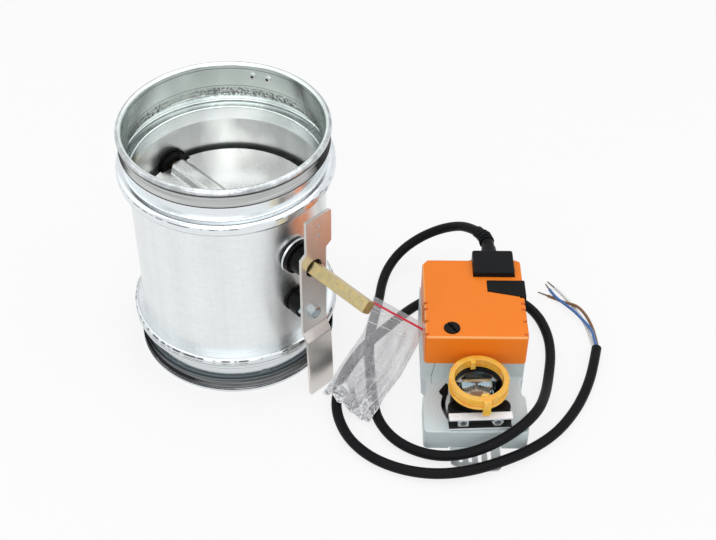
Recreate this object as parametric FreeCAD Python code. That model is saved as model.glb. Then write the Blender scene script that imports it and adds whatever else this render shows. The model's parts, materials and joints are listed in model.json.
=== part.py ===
"""Motorized round air damper, DN 125, with its rotary actuator standing beside it. Millimetres.

Frame: the origin is on the duct's axis at its lower end, +Z runs up the duct and +X runs out
along the blade's shaft. The actuator has its own local frame (across, along, up) and is placed last.
"""
import FreeCAD, Part
import math
import os
from FreeCAD import Placement, Rotation, Vector

# Duct: height, sheet and radii
duct_height = 171.0
duct_radius = 61.55
sheet = 0.8
bead_radius = 67.9
bead_height = 8.2
bead_from_end = 28.4
spigot_radius = 62.35
skirt_length = 9.0
tube_bevel = 0.35
rim_radius = 64.7
rim_fold = 2.3
seal_from_end = 2.6
seal_height = 9.6
seal_base = 0.8
seal_lip_radius = 65.2

# Fits and clearances
running = 0.05
seated = 0.02
gap = 0.3

# Blade and its shaft
shaft_share = 0.6111
shaft_height = round(duct_height * shaft_share, 1)
shaft_side = 8.0
shaft_end_x = 126.2
shaft_start_x = -44.0
shaft_chamfer = 0.8
bar_corner = 0.5
blade_skin = 0.8
gasket_thickness = 2.6
gasket_radius = 60.35
blade_radius = 57.2
gasket_inner_radius = 53.0
gasket_shaft_gap = 6.2
rib_half_width = 7.0
blade_end_gap = 0.8
pivot_radius = 5.0
boss_radius = 10.0
boss_foot_radius = 11.2
boss_foot = 2.2
boss_reach = 5.8
far_neck_radius = 8.0
near_neck_radius = 11.0
near_neck_end_x = 66.0
far_flange_radius = 11.0
far_flange_x = 64.5
bush_radius = 7.5
bush_flange_radius = 9.0
bush_end_gap = 0.4
clip_radius = 12.4
clip_width = 1.4
clip_from_end = 1.8

# Bracket plate and what holds it
plate = 2.0
plate_front_x = 78.8
plate_top = shaft_height + 38.9
plate_step = shaft_height + 14.1
plate_half_width = 10.05
tab_left = -5.65
tab_right = 14.7
leg_top_x = 83.1
leg_bottom_x = 85.1
leg_bottom = 0.4
shaft_hole_radius = 6.3
pilot_hole_radius = 1.25
pilot_hole_y = 4.25
pilot_heights = (shaft_height + 24.3, shaft_height + 31.4)
skirt_end = bead_from_end + bead_height / 2 + skirt_length
bolt_share = 0.5667
bolt_height = round(shaft_height - bolt_share * (shaft_height - skirt_end), 1)
bend_top = bolt_height - 14.3
bend_bottom = bolt_height - 21.6
bolt_y = -1.6
bolt_radius = 2.5
bolt_hex = 8.0
bolt_head = 3.5
bolt_length = 17.0
standoff_radius = 8.5
standoff_stub_radius = 4.5
nut_hex = 13.0
nut_height = 4.2
rivet_radius = 1.8
rivet_head_radius = 2.7
rivet_hole_radius = 1.0
rivet_from_end = 8.2
rivet_angles = (113.5, 123.1)

# Actuator: place and outer sizes
actuator_x = 166.1
actuator_y = 11.2
actuator_angle = 45.54
housing_width = 66.0
housing_length = 116.0
deck_height = 15.9
wall_height = 30.0
wall_front = 46.5
cover_top = 54.2
cover_front = 45.1
cover_left = 0.8
cover_right = housing_width + 0.3
cover_back = housing_length + 0.5
housing_wall = 2.2
deck_thickness = 2.4
deck_ring_radius = 18.4
waist_depth = 2.3
waist_from = 29.0
waist_to = 43.0
floor_low = 1.5
floor_thickness = 2.0
foot_screw_radius = 1.4
foot_screw_head = 2.7
foot_screw_inset = 6.2
cover_wall = 2.0
cover_roof = 2.2
cover_chamfer_across = 3.6
cover_chamfer_along = 4.2
groove_depth = 0.8
groove_width = 2.2
groove_places = (47.8, 59.3, 70.1, 75.5)

# Actuator: output hub and clamp, measured from the hub's axis
hub_across = housing_width / 2 + 1.0
hub_along = 22.5
hub_rest_turn = 3.0
hub_travel = 95.0
bore_radius = 8.5
neck_radius = 14.0
foot_radius = 12.0
collar_radius = 17.0
collar_low = 16.8
collar_top = 27.0
cup_radius = 16.0
cup_bore = 14.8
cup_floor = 19.0
cup_top = 35.0
bar_half_length = 19.8
bar_front = -15.2
bar_back = -4.6
insert_top = 24.0
square_hole = 8.2
bolt_spread = 10.8
clamp_bolt_radius = 1.9
clamp_bolt_height = 22.0
clamp_bolt_tip = -20.4
channel_depth = 5.7
channel_height = 10.0
channel_sheet = 1.5
clamp_nut_hex = 6.6
clamp_nut_height = 3.0
eyelet_radius = 2.2
jaw_back = 8.2
jaw_front = 6.2
jaw_half_width = 12.2
jaw_low = 24.2
jaw_wall = 1.6
jaw_top = 31.0
tooth_count = 5

# Indicator ring
ring_outer = 19.0
ring_inner = 15.3
ring_low = 33.0
ring_top = 42.0
ring_web = 1.2
ring_turn = 12.0
tab_width = 4.6
back_tab_width = 3.2

# End stop, knob, release button
stop_radius = 21.1
stop_width = 2.3
stop_from = 158.0
stop_to = 219.0
stop_span = 11.0
stop_lip = 1.9
stop_lip_thickness = 1.0
pointer_thickness = 0.3
pointer_outline = ((136.6, 25.7), (136.7, 23.5), (155.3, 19.6), (164.7, 20.8), (158.8, 24.6), (155.5, 25.8))
knob_across = 17.8
knob_along = 53.2
knob_radius = 5.0
knob_rise = 0.7
button_travel = 2.5
button_rise = 0.4
button_proud = 1.2
button_thickness = 5.0
button_skirt_low = 40.3
button_left = housing_width - 23.2
button_back = housing_length - 19.4
button_front_left = housing_length - 29.3
button_front_right = housing_length - 35.0
push_rod_across = housing_width - 6.4
push_rod_along = housing_length - 25.5
push_rod_radius = 1.8

# Plug and strain relief
plug_left = housing_width - 31.7
plug_right = housing_width - 4.6
plug_front = housing_length - 15.6
plug_back = housing_length + 6.2
plug_low = 34.0
plug_top = 58.2
relief_height = 49.0
relief_across = plug_left + 12.5
relief_radius = 4.9
relief_tip_radius = 4.2
rib_count = 4

# Gear train between motor and hub
module = 1.0
hub_teeth = 48
first_pinion_teeth = 12
first_wheel_teeth = 28
second_pinion_teeth = 12
second_wheel_teeth = 32
motor_teeth = 10
backlash = 0.16
sector_rim = 17.5
sector_margin = 14.0
gear_level = 4.2
gear_face = 4.7
wheel_face = 3.0
arbor_radius = 2.0
wheel_room = 0.8
second_wheel_tip = module * (second_wheel_teeth / 2 + 1)
second_gear_lean = housing_width - housing_wall - wheel_room - second_wheel_tip - hub_across
motor_lean = -12.6
gear_plate_low = 16.6
gear_plate_thickness = 1.2
motor_radius = 12.0
motor_height = 18.0
motor_shaft_radius = 1.5
board_top = 39.9
board_thickness = 1.6
board_right = housing_width - 5.0
board_back = housing_length - 19.2

# Cable and wires
cable_radius = 3.4
wire_radius = 1.05
core_radius = 0.65
core_length = 6.0

# Anti-rotation strap
strap_left = 17.0
strap_right = 48.5
strap_reach = 18.5
strap_depth = 12.0
strap_thickness = 1.2

# Small bag
bag_top_thickness = 1.6
bag_bottom_thickness = 7.0

X = Vector(1, 0, 0)
Y = Vector(0, 1, 0)
Z = Vector(0, 0, 1)
parts = {}


# Drawing helpers
def rounded_wire(points, radii, closed=True):
    """A wire of straight runs through points, each corner replaced by its tangent arc."""
    count = len(points)
    corners = []
    for i in range(count):
        here = points[i]
        end = not closed and i in (0, count - 1)
        if end or radii[i] <= 0:
            corners.append((here, None, here))
            continue
        back = (points[i - 1] - here).normalize()
        ahead = (points[(i + 1) % count] - here).normalize()
        half = back.getAngle(ahead) / 2
        reach = radii[i] / math.tan(half)
        middle = (back + ahead).normalize()
        top = here + middle * (radii[i] / math.sin(half) - radii[i])
        corners.append((here + back * reach, top, here + ahead * reach))
    edges = []
    for i in range(count):
        first, top, last = corners[i]
        if top is not None:
            edges.append(Part.Arc(first, top, last).toShape())
        if closed or i < count - 1:
            following = corners[(i + 1) % count][0]
            if (following - last).Length > 1e-6:
                edges.append(Part.LineSegment(last, following).toShape())
    return Part.Wire(edges)


def prism(flat, low, high, radii=None):
    """A flat outline of (x, y) pairs raised from low to high."""
    points = [Vector(x, y, low) for x, y in flat]
    wire = rounded_wire(points, radii or [0] * len(points))
    return Part.Face(wire).extrude(Z * (high - low))


def turned(profile, radii=None):
    """A profile of (radius, height) pairs turned about the Z axis."""
    points = [Vector(r, 0, z) for r, z in profile]
    wire = rounded_wire(points, radii or [0] * len(points))
    return Part.Face(wire).revolve(Vector(0, 0, 0), Z, 360)


def rod(start, axis, radius, length):
    return Part.makeCylinder(radius, length, start, axis)


def upright(x, y, radius, low, high):
    return Part.makeCylinder(radius, high - low, Vector(x, y, low), Z)


def box(low, high):
    size = [high[i] - low[i] for i in range(3)]
    return Part.makeBox(size[0], size[1], size[2], Vector(*low))


def hexagon(centre, axis, across_flats, height, turn=0.0):
    """A hexagonal block with its foot at centre."""
    radius = across_flats / math.sqrt(3)
    flat = [(radius * math.cos(math.radians(60 * k + turn)), radius * math.sin(math.radians(60 * k + turn)))
            for k in range(6)]
    block = prism(flat, 0, height)
    block.Placement = Placement(centre, Rotation(Z, axis))
    return block


def sheet_outline(line, radii, thickness):
    """Points and radii of a bent sheet: the line is one face, the other lies to its left."""
    count = len(line)
    normals = []
    for i in range(count - 1):
        along = (line[i + 1] - line[i]).normalize()
        normals.append(Vector(-along.z, 0, along.x))
    other, other_radii = [], []
    for i in range(count):
        if i in (0, count - 1):
            normal = normals[0] if i == 0 else normals[-1]
            other.append(line[i] + normal * thickness)
            other_radii.append(0)
            continue
        before, after = normals[i - 1], normals[i]
        middle = (before + after).normalize()
        other.append(line[i] + middle * (thickness / middle.dot(after)))
        bend = before.x * after.z - before.z * after.x
        other_radii.append(max(radii[i] + (thickness if bend < 0 else -thickness), 0.05))
    own_radii = [0 if i in (0, count - 1) else radii[i] for i in range(count)]
    return line + other[::-1], own_radii + other_radii[::-1]


def bent_sheet(pairs, radii, thickness):
    """The cross-section face, in the XZ plane, of a sheet bent along (x, z) pairs."""
    points, all_radii = sheet_outline([Vector(x, 0, z) for x, z in pairs], radii, thickness)
    return Part.Face(rounded_wire(points, all_radii))


def fused(shapes):
    body = shapes[0].fuse(shapes[1:]) if len(shapes) > 1 else shapes[0]
    return body.removeSplitter()


def cut(body, tools):
    for tool in tools:
        body = body.cut(tool)
    return body


def with_fillet(body, radius, wanted):
    edges = [edge for edge in body.Edges if wanted(edge)]
    return body.makeFillet(radius, edges)


def keep(name, shape):
    parts[name] = shape


# Duct
bead_low = duct_height - bead_from_end - bead_height / 2
bead_high = bead_low + bead_height
inner_radius = duct_radius - sheet


def flipped(shape):
    """The same piece at the other end of the duct."""
    return shape.mirror(Vector(0, 0, duct_height / 2), Z)


def collar():
    """Spigot with the stop bead and folded rim; its skirt slides into the body."""
    skirt = inner_radius - seated
    line = [
        (skirt, bead_low - skirt_length),
        (skirt, bead_low),
        (bead_radius, bead_low),
        (bead_radius, bead_high),
        (spigot_radius, bead_high + 0.9),
        (spigot_radius, duct_height),
        (rim_radius, duct_height),
        (rim_radius, duct_height - rim_fold),
    ]
    radii = [0, tube_bevel - 0.05, 2.6, 2.8, 1.6, 1.1, 1.1, 0]
    return bent_sheet(line, radii, sheet).revolve(Vector(0, 0, 0), Z, 360)


def body_holes():
    """The far and near bearing holes and the standoff's hole."""
    return [
        rod(Vector(-duct_radius - 5, 0, shaft_height), X, far_neck_radius + running, 15),
        rod(Vector(duct_radius - 10, 0, shaft_height), X, near_neck_radius + running, 15),
        rod(Vector(duct_radius - 10, bolt_y, bolt_height), X, standoff_stub_radius + running, 15),
    ]


def body_tube():
    low, high = duct_height - bead_low + seated, bead_low - seated
    bevel = inner_radius + tube_bevel
    tube = turned([(inner_radius, low + tube_bevel), (bevel, low), (duct_radius, low), (duct_radius, high),
                   (bevel, high), (inner_radius, high - tube_bevel)])
    return cut(tube, body_holes())


def radial(angle):
    return Vector(math.cos(math.radians(angle)), math.sin(math.radians(angle)), 0)


def rivet_tools(radius, start, length):
    height = duct_height - rivet_from_end
    return [rod(radial(a) * start + Z * height, radial(a), radius, length) for a in rivet_angles]


def rivets():
    """Hollow rivets that close each spigot's lap seam."""
    shanks = rivet_tools(rivet_radius, spigot_radius - sheet - 0.1, sheet + 0.05)
    heads = rivet_tools(rivet_head_radius, spigot_radius - sheet - 0.6, 0.5)
    holes = rivet_tools(rivet_hole_radius, spigot_radius - 4, 8)
    ring = [cut(fused([s, h]), [hole]) for s, h, hole in zip(shanks, heads, holes)]
    return Part.makeCompound(ring + [flipped(piece) for piece in ring])


def seal():
    """Double-lip rubber ring under the folded rim."""
    top = duct_height - seal_from_end
    low = top - seal_height
    base = spigot_radius + seated
    skin = base + seal_base
    return turned([
        (base, top), (skin + 0.9, top), (seal_lip_radius, top - 2.0), (seal_lip_radius - 0.1, top - 2.6),
        (skin, top - 2.3), (skin, top - 4.0), (seal_lip_radius - 0.5, low + 1.0),
        (seal_lip_radius - 0.3, low + 0.2),
        (skin, low + 2.6), (skin, low), (base, low),
    ])


def make_duct():
    upper = cut(collar(), rivet_tools(rivet_radius + seated, spigot_radius - 4, 8))
    keep("duct_body", body_tube())
    keep("upper_collar", upper)
    keep("lower_collar", flipped(upper))
    keep("collar_rivets", rivets())
    keep("upper_seal", seal())
    keep("lower_seal", flipped(seal()))


# Bearings in the duct wall
def wall_follower(body):
    """Trims a piece inside the duct to the wall's curve."""
    return body.common(Part.makeCylinder(inner_radius - seated, duct_height))


def outside_wall(body):
    return body.cut(Part.makeCylinder(duct_radius + seated, duct_height))


def far_boss():
    back = Vector(-inner_radius, 0, shaft_height)
    foot = rod(back, X, boss_foot_radius, boss_foot)
    inside = wall_follower(fused([foot, rod(back, X, boss_radius, boss_reach)]))
    neck = rod(Vector(-far_flange_x, 0, shaft_height), X, far_neck_radius, far_flange_x - inner_radius + 3)
    flange = outside_wall(rod(Vector(-far_flange_x, 0, shaft_height), X, far_flange_radius, 5))
    whole = fused([inside, neck, flange])
    return whole.cut(rod(Vector(-inner_radius - 2, 0, shaft_height), X, pivot_radius + running, 30))


def near_boss():
    front = Vector(inner_radius - boss_reach, 0, shaft_height)
    foot = rod(front + X * (boss_reach - boss_foot), X, boss_foot_radius, boss_foot)
    inside = wall_follower(fused([foot, rod(front, X, boss_radius, boss_reach)]))
    neck = rod(front + X * 3, X, near_neck_radius, near_neck_end_x - front.x - 3)
    clip_x = near_neck_end_x - clip_from_end - clip_width
    groove = rod(Vector(clip_x, 0, shaft_height), X, clip_radius + 1, clip_width + 2 * seated)
    start = Vector(clip_x, 0, shaft_height)
    groove = groove.cut(rod(start, X, near_neck_radius - 0.6, clip_width + 2 * seated))
    whole = fused([inside, neck]).cut(groove)
    return whole.cut(rod(Vector(front.x - 1, 0, shaft_height), X, bush_radius + running, 20))


def neck_clip():
    """Open snap ring in the near neck's groove, outside the wall."""
    clip_x = near_neck_end_x - clip_from_end - clip_width + seated
    start = Vector(clip_x, 0, shaft_height)
    ring = rod(start, X, clip_radius, clip_width).cut(rod(start, X, near_neck_radius - 0.55, clip_width))
    mouth = box((clip_x - 1, -3.5, shaft_height - 20), (clip_x + clip_width + 1, 3.5, shaft_height))
    return ring.cut(mouth)


def make_bearings():
    keep("far_bearing_boss", far_boss())
    keep("near_bearing_boss", near_boss())
    keep("bearing_snap_ring", neck_clip())


# Blade
blade_end_x = inner_radius - boss_reach - blade_end_gap
half_gap = gasket_thickness / 2 + seated


def end_notches(margin):
    """Room for the bearing bosses at both ends of the blade."""
    wide = boss_foot_radius + margin
    tools = []
    for side in (-1, 1):
        near, far = sorted((side * blade_end_x, side * (duct_radius + 5)))
        tools.append(box((near, -wide, shaft_height - 20), (far, wide, shaft_height + 20)))
    return tools


def rib_section():
    """Raised rib in the sheet that wraps over one corner of the square bar."""
    top = shaft_side / math.sqrt(2) - bar_corner * (math.sqrt(2) - 1) + seated + blade_skin
    low = half_gap + blade_skin
    line = [
        (-rib_half_width - 5, low), (-rib_half_width - 0.6, low), (-rib_half_width + 2.6, top),
        (rib_half_width - 2.6, top), (rib_half_width + 0.6, low), (rib_half_width + 5, low),
    ]
    face = bent_sheet([(x, z) for x, z in line[::-1]], [0, 1.6, 3.4, 3.4, 1.6, 0], blade_skin)
    return face, low


def blade_skin_sheet():
    """Upper skin: a disc with a pressed rib that ends round near the far bearing."""
    face, low = rib_section()
    face.Placement = Placement(Vector(0, 0, 0), Rotation(Z, 90))
    strip = face.extrude(X * (2 * blade_end_x)).translated(X * -blade_end_x)
    reach = rib_half_width + 5
    end = -blade_end_x + 1.5
    disc = turned([(0, low - blade_skin), (blade_radius, low - blade_skin), (blade_radius, low), (0, low)])
    slot = prism([(end, -reach), (blade_end_x + 9, -reach), (blade_end_x + 9, reach), (end, reach)],
                 low - blade_skin - 1, low + 10, [reach * 0.98, 0, 0, reach * 0.98])
    skin = fused([disc.cut(slot), strip.common(slot)])
    wall = Vector(-duct_radius, 0, shaft_height)
    pivot_room = rod(wall, X, pivot_radius + seated, duct_radius + shaft_start_x)
    return cut(skin.translated(Z * shaft_height), end_notches(gap * 2) + [pivot_room])


def blade_flipped(shape):
    return shape.mirror(Vector(0, 0, shaft_height), Z)


def square_bar(side, start, end):
    """Square section on its corner, along X."""
    half = side / math.sqrt(2)
    corners = [(half, 0), (0, half), (-half, 0), (0, -half)]
    points = [Vector(start, y, z) for y, z in corners]
    bar = Part.Face(rounded_wire(points, [bar_corner] * 4)).extrude(X * (end - start))
    return bar.translated(Z * shaft_height)


def drive_shaft():
    bar = square_bar(shaft_side, shaft_start_x, shaft_end_x)
    nose = Part.makeCone(shaft_side / math.sqrt(2) + shaft_end_x - shaft_start_x, 0.001,
                         shaft_side / math.sqrt(2) + shaft_end_x - shaft_start_x,
                         Vector(shaft_start_x - shaft_chamfer, 0, shaft_height), X)
    return bar.common(nose)


def gasket():
    """Rubber ring clamped between the skins; its edge wipes the duct."""
    thick = gasket_thickness / 2
    ring = turned([(gasket_inner_radius, -thick), (gasket_radius - 0.8, -thick),
                   (gasket_radius, -thick + 0.8),
                   (gasket_radius, thick - 0.8), (gasket_radius - 0.8, thick), (gasket_inner_radius, thick)])
    bar_room = box((-duct_radius, -gasket_shaft_gap, shaft_height - 5),
                   (duct_radius, gasket_shaft_gap, shaft_height + 5))
    return cut(ring.translated(Z * shaft_height), end_notches(gap * 2) + [bar_room])


def idle_pivot():
    start = -inner_radius - 1.2
    pin = rod(Vector(start, 0, shaft_height), X, pivot_radius, -start + shaft_start_x - gap)
    return pin


def shaft_bush():
    """Sleeve that turns the square bar into a round journal."""
    flange_start = near_neck_end_x + gap
    journal_start = blade_end_x + 0.2
    journal = rod(Vector(journal_start, 0, shaft_height), X, bush_radius, flange_start - journal_start + 1)
    collar_end = plate_front_x - plate - bush_end_gap
    collar_part = rod(Vector(flange_start, 0, shaft_height), X, bush_flange_radius, collar_end - flange_start)
    sleeve = fused([journal, collar_part])
    return sleeve.cut(square_bar(shaft_side + 0.1, journal_start - 1, collar_end + 1))


def make_blade():
    keep("blade_upper_skin", blade_skin_sheet())
    keep("blade_lower_skin", blade_flipped(blade_skin_sheet()))
    keep("blade_gasket", gasket())
    keep("drive_shaft", drive_shaft())
    keep("idle_pivot", idle_pivot())
    keep("shaft_bush", shaft_bush())


# Bracket plate, its standoff, nut and bolt
def bracket_plate():
    line = [(plate_front_x, plate_top), (plate_front_x, bend_top), (leg_top_x, bend_bottom),
            (leg_bottom_x, leg_bottom)]
    section = bent_sheet(line[::-1], [0, 2.5, 2.5, 0], plate)
    strip = section.extrude(Y * 60).translated(Y * -30)
    half = plate_half_width
    outline = [
        (-half, leg_bottom), (half, leg_bottom), (half, plate_step - 3), (tab_right, plate_step),
        (tab_right, plate_top), (tab_left, plate_top), (tab_left, plate_step), (-half, plate_step - 3),
    ]
    points = [Vector(plate_front_x - 20, y, z) for y, z in outline]
    window = Part.Face(rounded_wire(points, [0.8, 0.8, 0, 1.2, 1.2, 0.8, 0, 0.8])).extrude(X * 40)
    body = strip.common(window)
    back = Vector(plate_front_x - plate - 3, 0, 0)
    holes = [rod(back + Z * shaft_height, X, shaft_hole_radius, 8)]
    holes += [rod(back + Z * z + Y * pilot_hole_y, X, pilot_hole_radius, 8) for z in pilot_heights]
    holes.append(rod(back + Z * bolt_height + Y * bolt_y, X, bolt_radius + 0.15, 8))
    return cut(body, holes)


def bolt_start(x):
    return Vector(x, bolt_y, bolt_height)


def standoff():
    """Black spacer riveted to the wall; the bolt screws into it."""
    end = plate_front_x - plate - nut_height
    body = outside_wall(rod(bolt_start(duct_radius - 4), X, standoff_radius, end - duct_radius + 4))
    waist = turned([(standoff_radius - 1.2, 4), (standoff_radius + 2, 4), (standoff_radius + 2, 8),
                    (standoff_radius - 1.2, 8)])
    waist.Placement = Placement(bolt_start(duct_radius - 2.5), Rotation(Z, X))
    stub = rod(bolt_start(inner_radius - 0.4), X, standoff_stub_radius, 4)
    bore = rod(bolt_start(plate_front_x - bolt_length - 0.5), X, bolt_radius + seated, 30)
    return fused([body.cut(waist), stub]).cut(bore)


def bracket_nut():
    start = bolt_start(plate_front_x - plate - nut_height + seated)
    nut = hexagon(start, X, nut_hex, nut_height - 2 * seated, 90)
    return nut.cut(rod(bolt_start(plate_front_x - 20), X, bolt_radius + seated, 30))


def bracket_bolt():
    shank = rod(bolt_start(plate_front_x - bolt_length), X, bolt_radius, bolt_length + 0.5)
    head = hexagon(bolt_start(plate_front_x + seated), X, bolt_hex, bolt_head, 0)
    dome = Part.makeSphere(11.5, bolt_start(plate_front_x + bolt_head - 11.2))
    return fused([shank, head.common(dome)])


def make_bracket():
    keep("bracket_plate", bracket_plate())
    keep("bracket_standoff", standoff())
    keep("bracket_nut", bracket_nut())
    keep("bracket_bolt", bracket_bolt())


# Actuator, drawn in its own frame: across, along, up
def placed(shape):
    """From the actuator's own frame to the part's."""
    shape = shape.copy()
    beside = Placement(Vector(actuator_x, actuator_y, 0), Rotation(Z, actuator_angle))
    shape.Placement = beside * shape.Placement
    return shape


def at_hub(shape, turn=hub_rest_turn):
    """From the hub's frame, turned as it rests, to the actuator's."""
    shape = shape.copy()
    shape.Placement = Placement(Vector(hub_across, hub_along, 0), Rotation(Z, turn)) * shape.Placement
    return shape


def housing_flat(inset, back_inset=None):
    """Plan outline of the base with its narrow waist, and the corner radii."""
    far = housing_length - inset
    right, left = housing_width - inset, inset
    flat = [
        (left, inset), (right, inset), (right, waist_from), (right - waist_depth, waist_from + 3),
        (right - waist_depth, waist_to), (right, waist_to + 3), (right, far), (left, far),
        (left, waist_to + 3), (left + waist_depth, waist_to), (left + waist_depth, waist_from + 3),
        (left, waist_from),
    ]
    corner = max(3.0 - inset, 0.5)
    return flat, [corner, corner, 2, 2, 2, 2, corner, corner, 2, 2, 2, 2]


def foot_places():
    low = foot_screw_inset
    right, back = housing_width - foot_screw_inset, housing_length - foot_screw_inset
    return [(low, low), (right, low), (low, back), (right, back)]


def stop_slot():
    """Curved slot in the deck for the end stop."""
    inner, outer = stop_radius - stop_width / 2 - gap, stop_radius + stop_width / 2 + gap
    return arc_bar(inner, outer, stop_from, stop_to, deck_height - deck_thickness - 1, deck_height + 1)


def arc_bar(inner, outer, start, end, low, high):
    """A stretch of a ring about the hub's axis, in the hub's frame."""
    def at(radius, angle):
        return Vector(radius * math.cos(math.radians(angle)), radius * math.sin(math.radians(angle)), low)
    middle = (start + end) / 2
    edges = [
        Part.Arc(at(outer, start), at(outer, middle), at(outer, end)).toShape(),
        Part.LineSegment(at(outer, end), at(inner, end)).toShape(),
        Part.Arc(at(inner, end), at(inner, middle), at(inner, start)).toShape(),
        Part.LineSegment(at(inner, start), at(outer, start)).toShape(),
    ]
    return Part.Face(Part.Wire(edges)).extrude(Z * (high - low))


def base_housing():
    outer, outer_radii = housing_flat(0)
    inner, inner_radii = housing_flat(housing_wall)
    low = prism(outer, 0, deck_height, outer_radii)
    back = housing_length
    rear = [(0, wall_front), (housing_width, wall_front), (housing_width, back), (0, back)]
    high = prism(rear, deck_height - 1, wall_height, [0.8, 0.8, 3, 3])
    low = with_fillet(low, 0.8, lambda e: abs(e.BoundBox.ZMin - deck_height) < 0.01)
    shell = fused([low, high])
    wall = housing_wall
    room = prism(inner, -1, deck_height - deck_thickness, inner_radii)
    rear_room = [(wall, wall_front + wall), (housing_width - wall, wall_front + wall),
                 (housing_width - wall, back - wall), (wall, back - wall)]
    tall_room = prism(rear_room, deck_height - deck_thickness - 1, wall_height + 1, [0.8, 0.8, 0.8, 0.8])
    shell = cut(shell, [room, tall_room])
    posts = []
    for x, y in foot_places():
        top = deck_height - deck_thickness if y < wall_front else gear_plate_low - seated
        post = upright(x, y, 4.8, floor_low + floor_thickness + seated, top + (0.5 if y < wall_front else 0))
        posts.append(post.cut(upright(x, y, foot_screw_radius + seated, 0, 12)))
    boss = at_hub(turned([(neck_radius + running, deck_height - 1), (deck_ring_radius, deck_height - 1),
                          (deck_ring_radius, deck_height + 0.4), (neck_radius + running, deck_height + 0.4)]))
    shell = fused([shell, boss] + posts)
    hub_hole = upright(hub_across, hub_along, neck_radius + running, 5, 30)
    strap_room = box((strap_left - 1, -1, -1), (strap_right + 1, housing_wall + 1, strap_thickness + 0.2))
    return cut(shell, [hub_hole, at_hub(stop_slot(), 0), strap_room])


def base_floor():
    flat, radii = housing_flat(housing_wall + 0.1)
    floor = prism(flat, floor_low, floor_low + floor_thickness, radii)
    holes = [upright(x, y, foot_screw_radius + 0.1, 0, 10) for x, y in foot_places()]
    holes.append(upright(hub_across, hub_along, foot_radius + running, 0, 10))
    holes += [upright(x, y, arbor_radius + seated, 0, 10) for x, y in (first_axis, second_axis)]
    return cut(floor, holes)


def foot_screws():
    screws = []
    for x, y in foot_places():
        head = upright(x, y, foot_screw_head, 0.2, floor_low - seated)
        cross = box((x - 1.6, y - 0.35, 0), (x + 1.6, y + 0.35, 0.9))
        cross = cross.fuse(box((x - 0.35, y - 1.6, 0), (x + 0.35, y + 1.6, 0.9)))
        screws.append(fused([head, upright(x, y, foot_screw_radius, 0.9, 11)]).cut(cross))
    return Part.makeCompound(screws)


def cover_flat(inset):
    left, right = cover_left + inset, cover_right - inset
    front, back = cover_front + inset, cover_back - inset
    flat = [(left, front), (right, front), (right, back), (left + cover_chamfer_across, back),
            (left, back - cover_chamfer_along)]
    corner = max(2.4 - inset, 0.4)
    return flat, [corner, corner, corner, 0.8, 0.8]


def cover_grooves():
    tools = []
    for y in groove_places:
        for x in (cover_left, cover_right):
            low = (x - groove_depth, y - groove_width / 2, wall_height + 8)
            tools.append(box(low, (x + groove_depth, y + groove_width / 2, cover_top + 1)))
    return tools


def plug_box(margin):
    return box((plug_left - margin, plug_front - margin, plug_low - margin),
               (plug_right + margin, plug_back + 10, cover_top + 5))


def button_flat(margin, proud=2.0):
    right = cover_right + proud
    return [(button_left - margin, button_front_left - margin), (right, button_front_right - margin),
            (right, button_back + margin), (button_left - margin, button_back + margin)]


def cover():
    flat, radii = cover_flat(0)
    inner, inner_radii = cover_flat(cover_wall)
    shell = prism(flat, wall_height + seated, cover_top, radii)
    shell = with_fillet(shell, 1.2, lambda e: abs(e.BoundBox.ZMin - cover_top) < 0.01)
    roof = cover_top - cover_roof
    shell = shell.cut(prism(inner, wall_height - 1, roof, inner_radii))
    box_wall = plug_box(gap + 1.6).common(prism(flat, wall_height + seated, cover_top - 0.1, radii))
    posts = [upright(x, y, 2.2, board_top + seated, roof + 0.1) for x, y in board_corners()]
    shell = fused([shell, box_wall] + posts)
    room_low = button_skirt_low - button_travel - gap
    side_room = box((cover_right - cover_wall - 1, button_front_right - gap, room_low),
                    (cover_right + 1, button_back + gap, cover_top))
    tools = [plug_box(gap), prism(button_flat(gap), roof - 1, cover_top + 1), side_room,
             upright(knob_across, knob_along, knob_radius + gap, roof - 1, cover_top + 1)]
    return cut(shell, tools + cover_grooves())


def release_button():
    """Push button that unmeshes the gears; its skirt shows on the right side."""
    top = cover_top + button_rise
    cap = prism(button_flat(0, button_proud), top - button_thickness, top, [0.8, 0.6, 0.6, 0.8])
    right = cover_right + button_proud
    skirt = box((right - cover_wall, button_front_right, button_skirt_low), (right, button_back, top - 1))
    rod_low = gear_plate_low + gear_plate_thickness + button_travel + gap
    stem = upright(push_rod_across, push_rod_along, push_rod_radius, rod_low, top - button_thickness)
    return fused([cap, skirt, stem])


def direction_knob():
    top = cover_top + knob_rise
    body = upright(knob_across, knob_along, knob_radius, cover_top - 5, top)
    flange_top = cover_top - cover_roof - gap
    flange = upright(knob_across, knob_along, knob_radius + 0.7, cover_top - 5.6, flange_top)
    stem = upright(knob_across, knob_along, 1.5, board_top + gap, cover_top - 5)
    body = fused([body, flange, stem])
    slot = box((-0.7, -knob_radius, top - 1.2), (0.7, knob_radius, top + 1))
    arrow = prism([(-2.2, 0.6), (2.2, 0.6), (0, 3.8)], top - 0.6, top + 1)
    tools = [t.translated(Vector(knob_across, knob_along, 0)) for t in (slot, arrow)]
    turned_tools = []
    for tool in tools:
        tool.rotate(Vector(knob_across, knob_along, 0), Z, 35)
        turned_tools.append(tool)
    return cut(body, turned_tools)


# Gears
def involute(base, radius):
    """Polar angle of the involute of a base circle at a radius."""
    lean = math.acos(min(1.0, base / radius))
    return math.tan(lean) - lean


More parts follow.
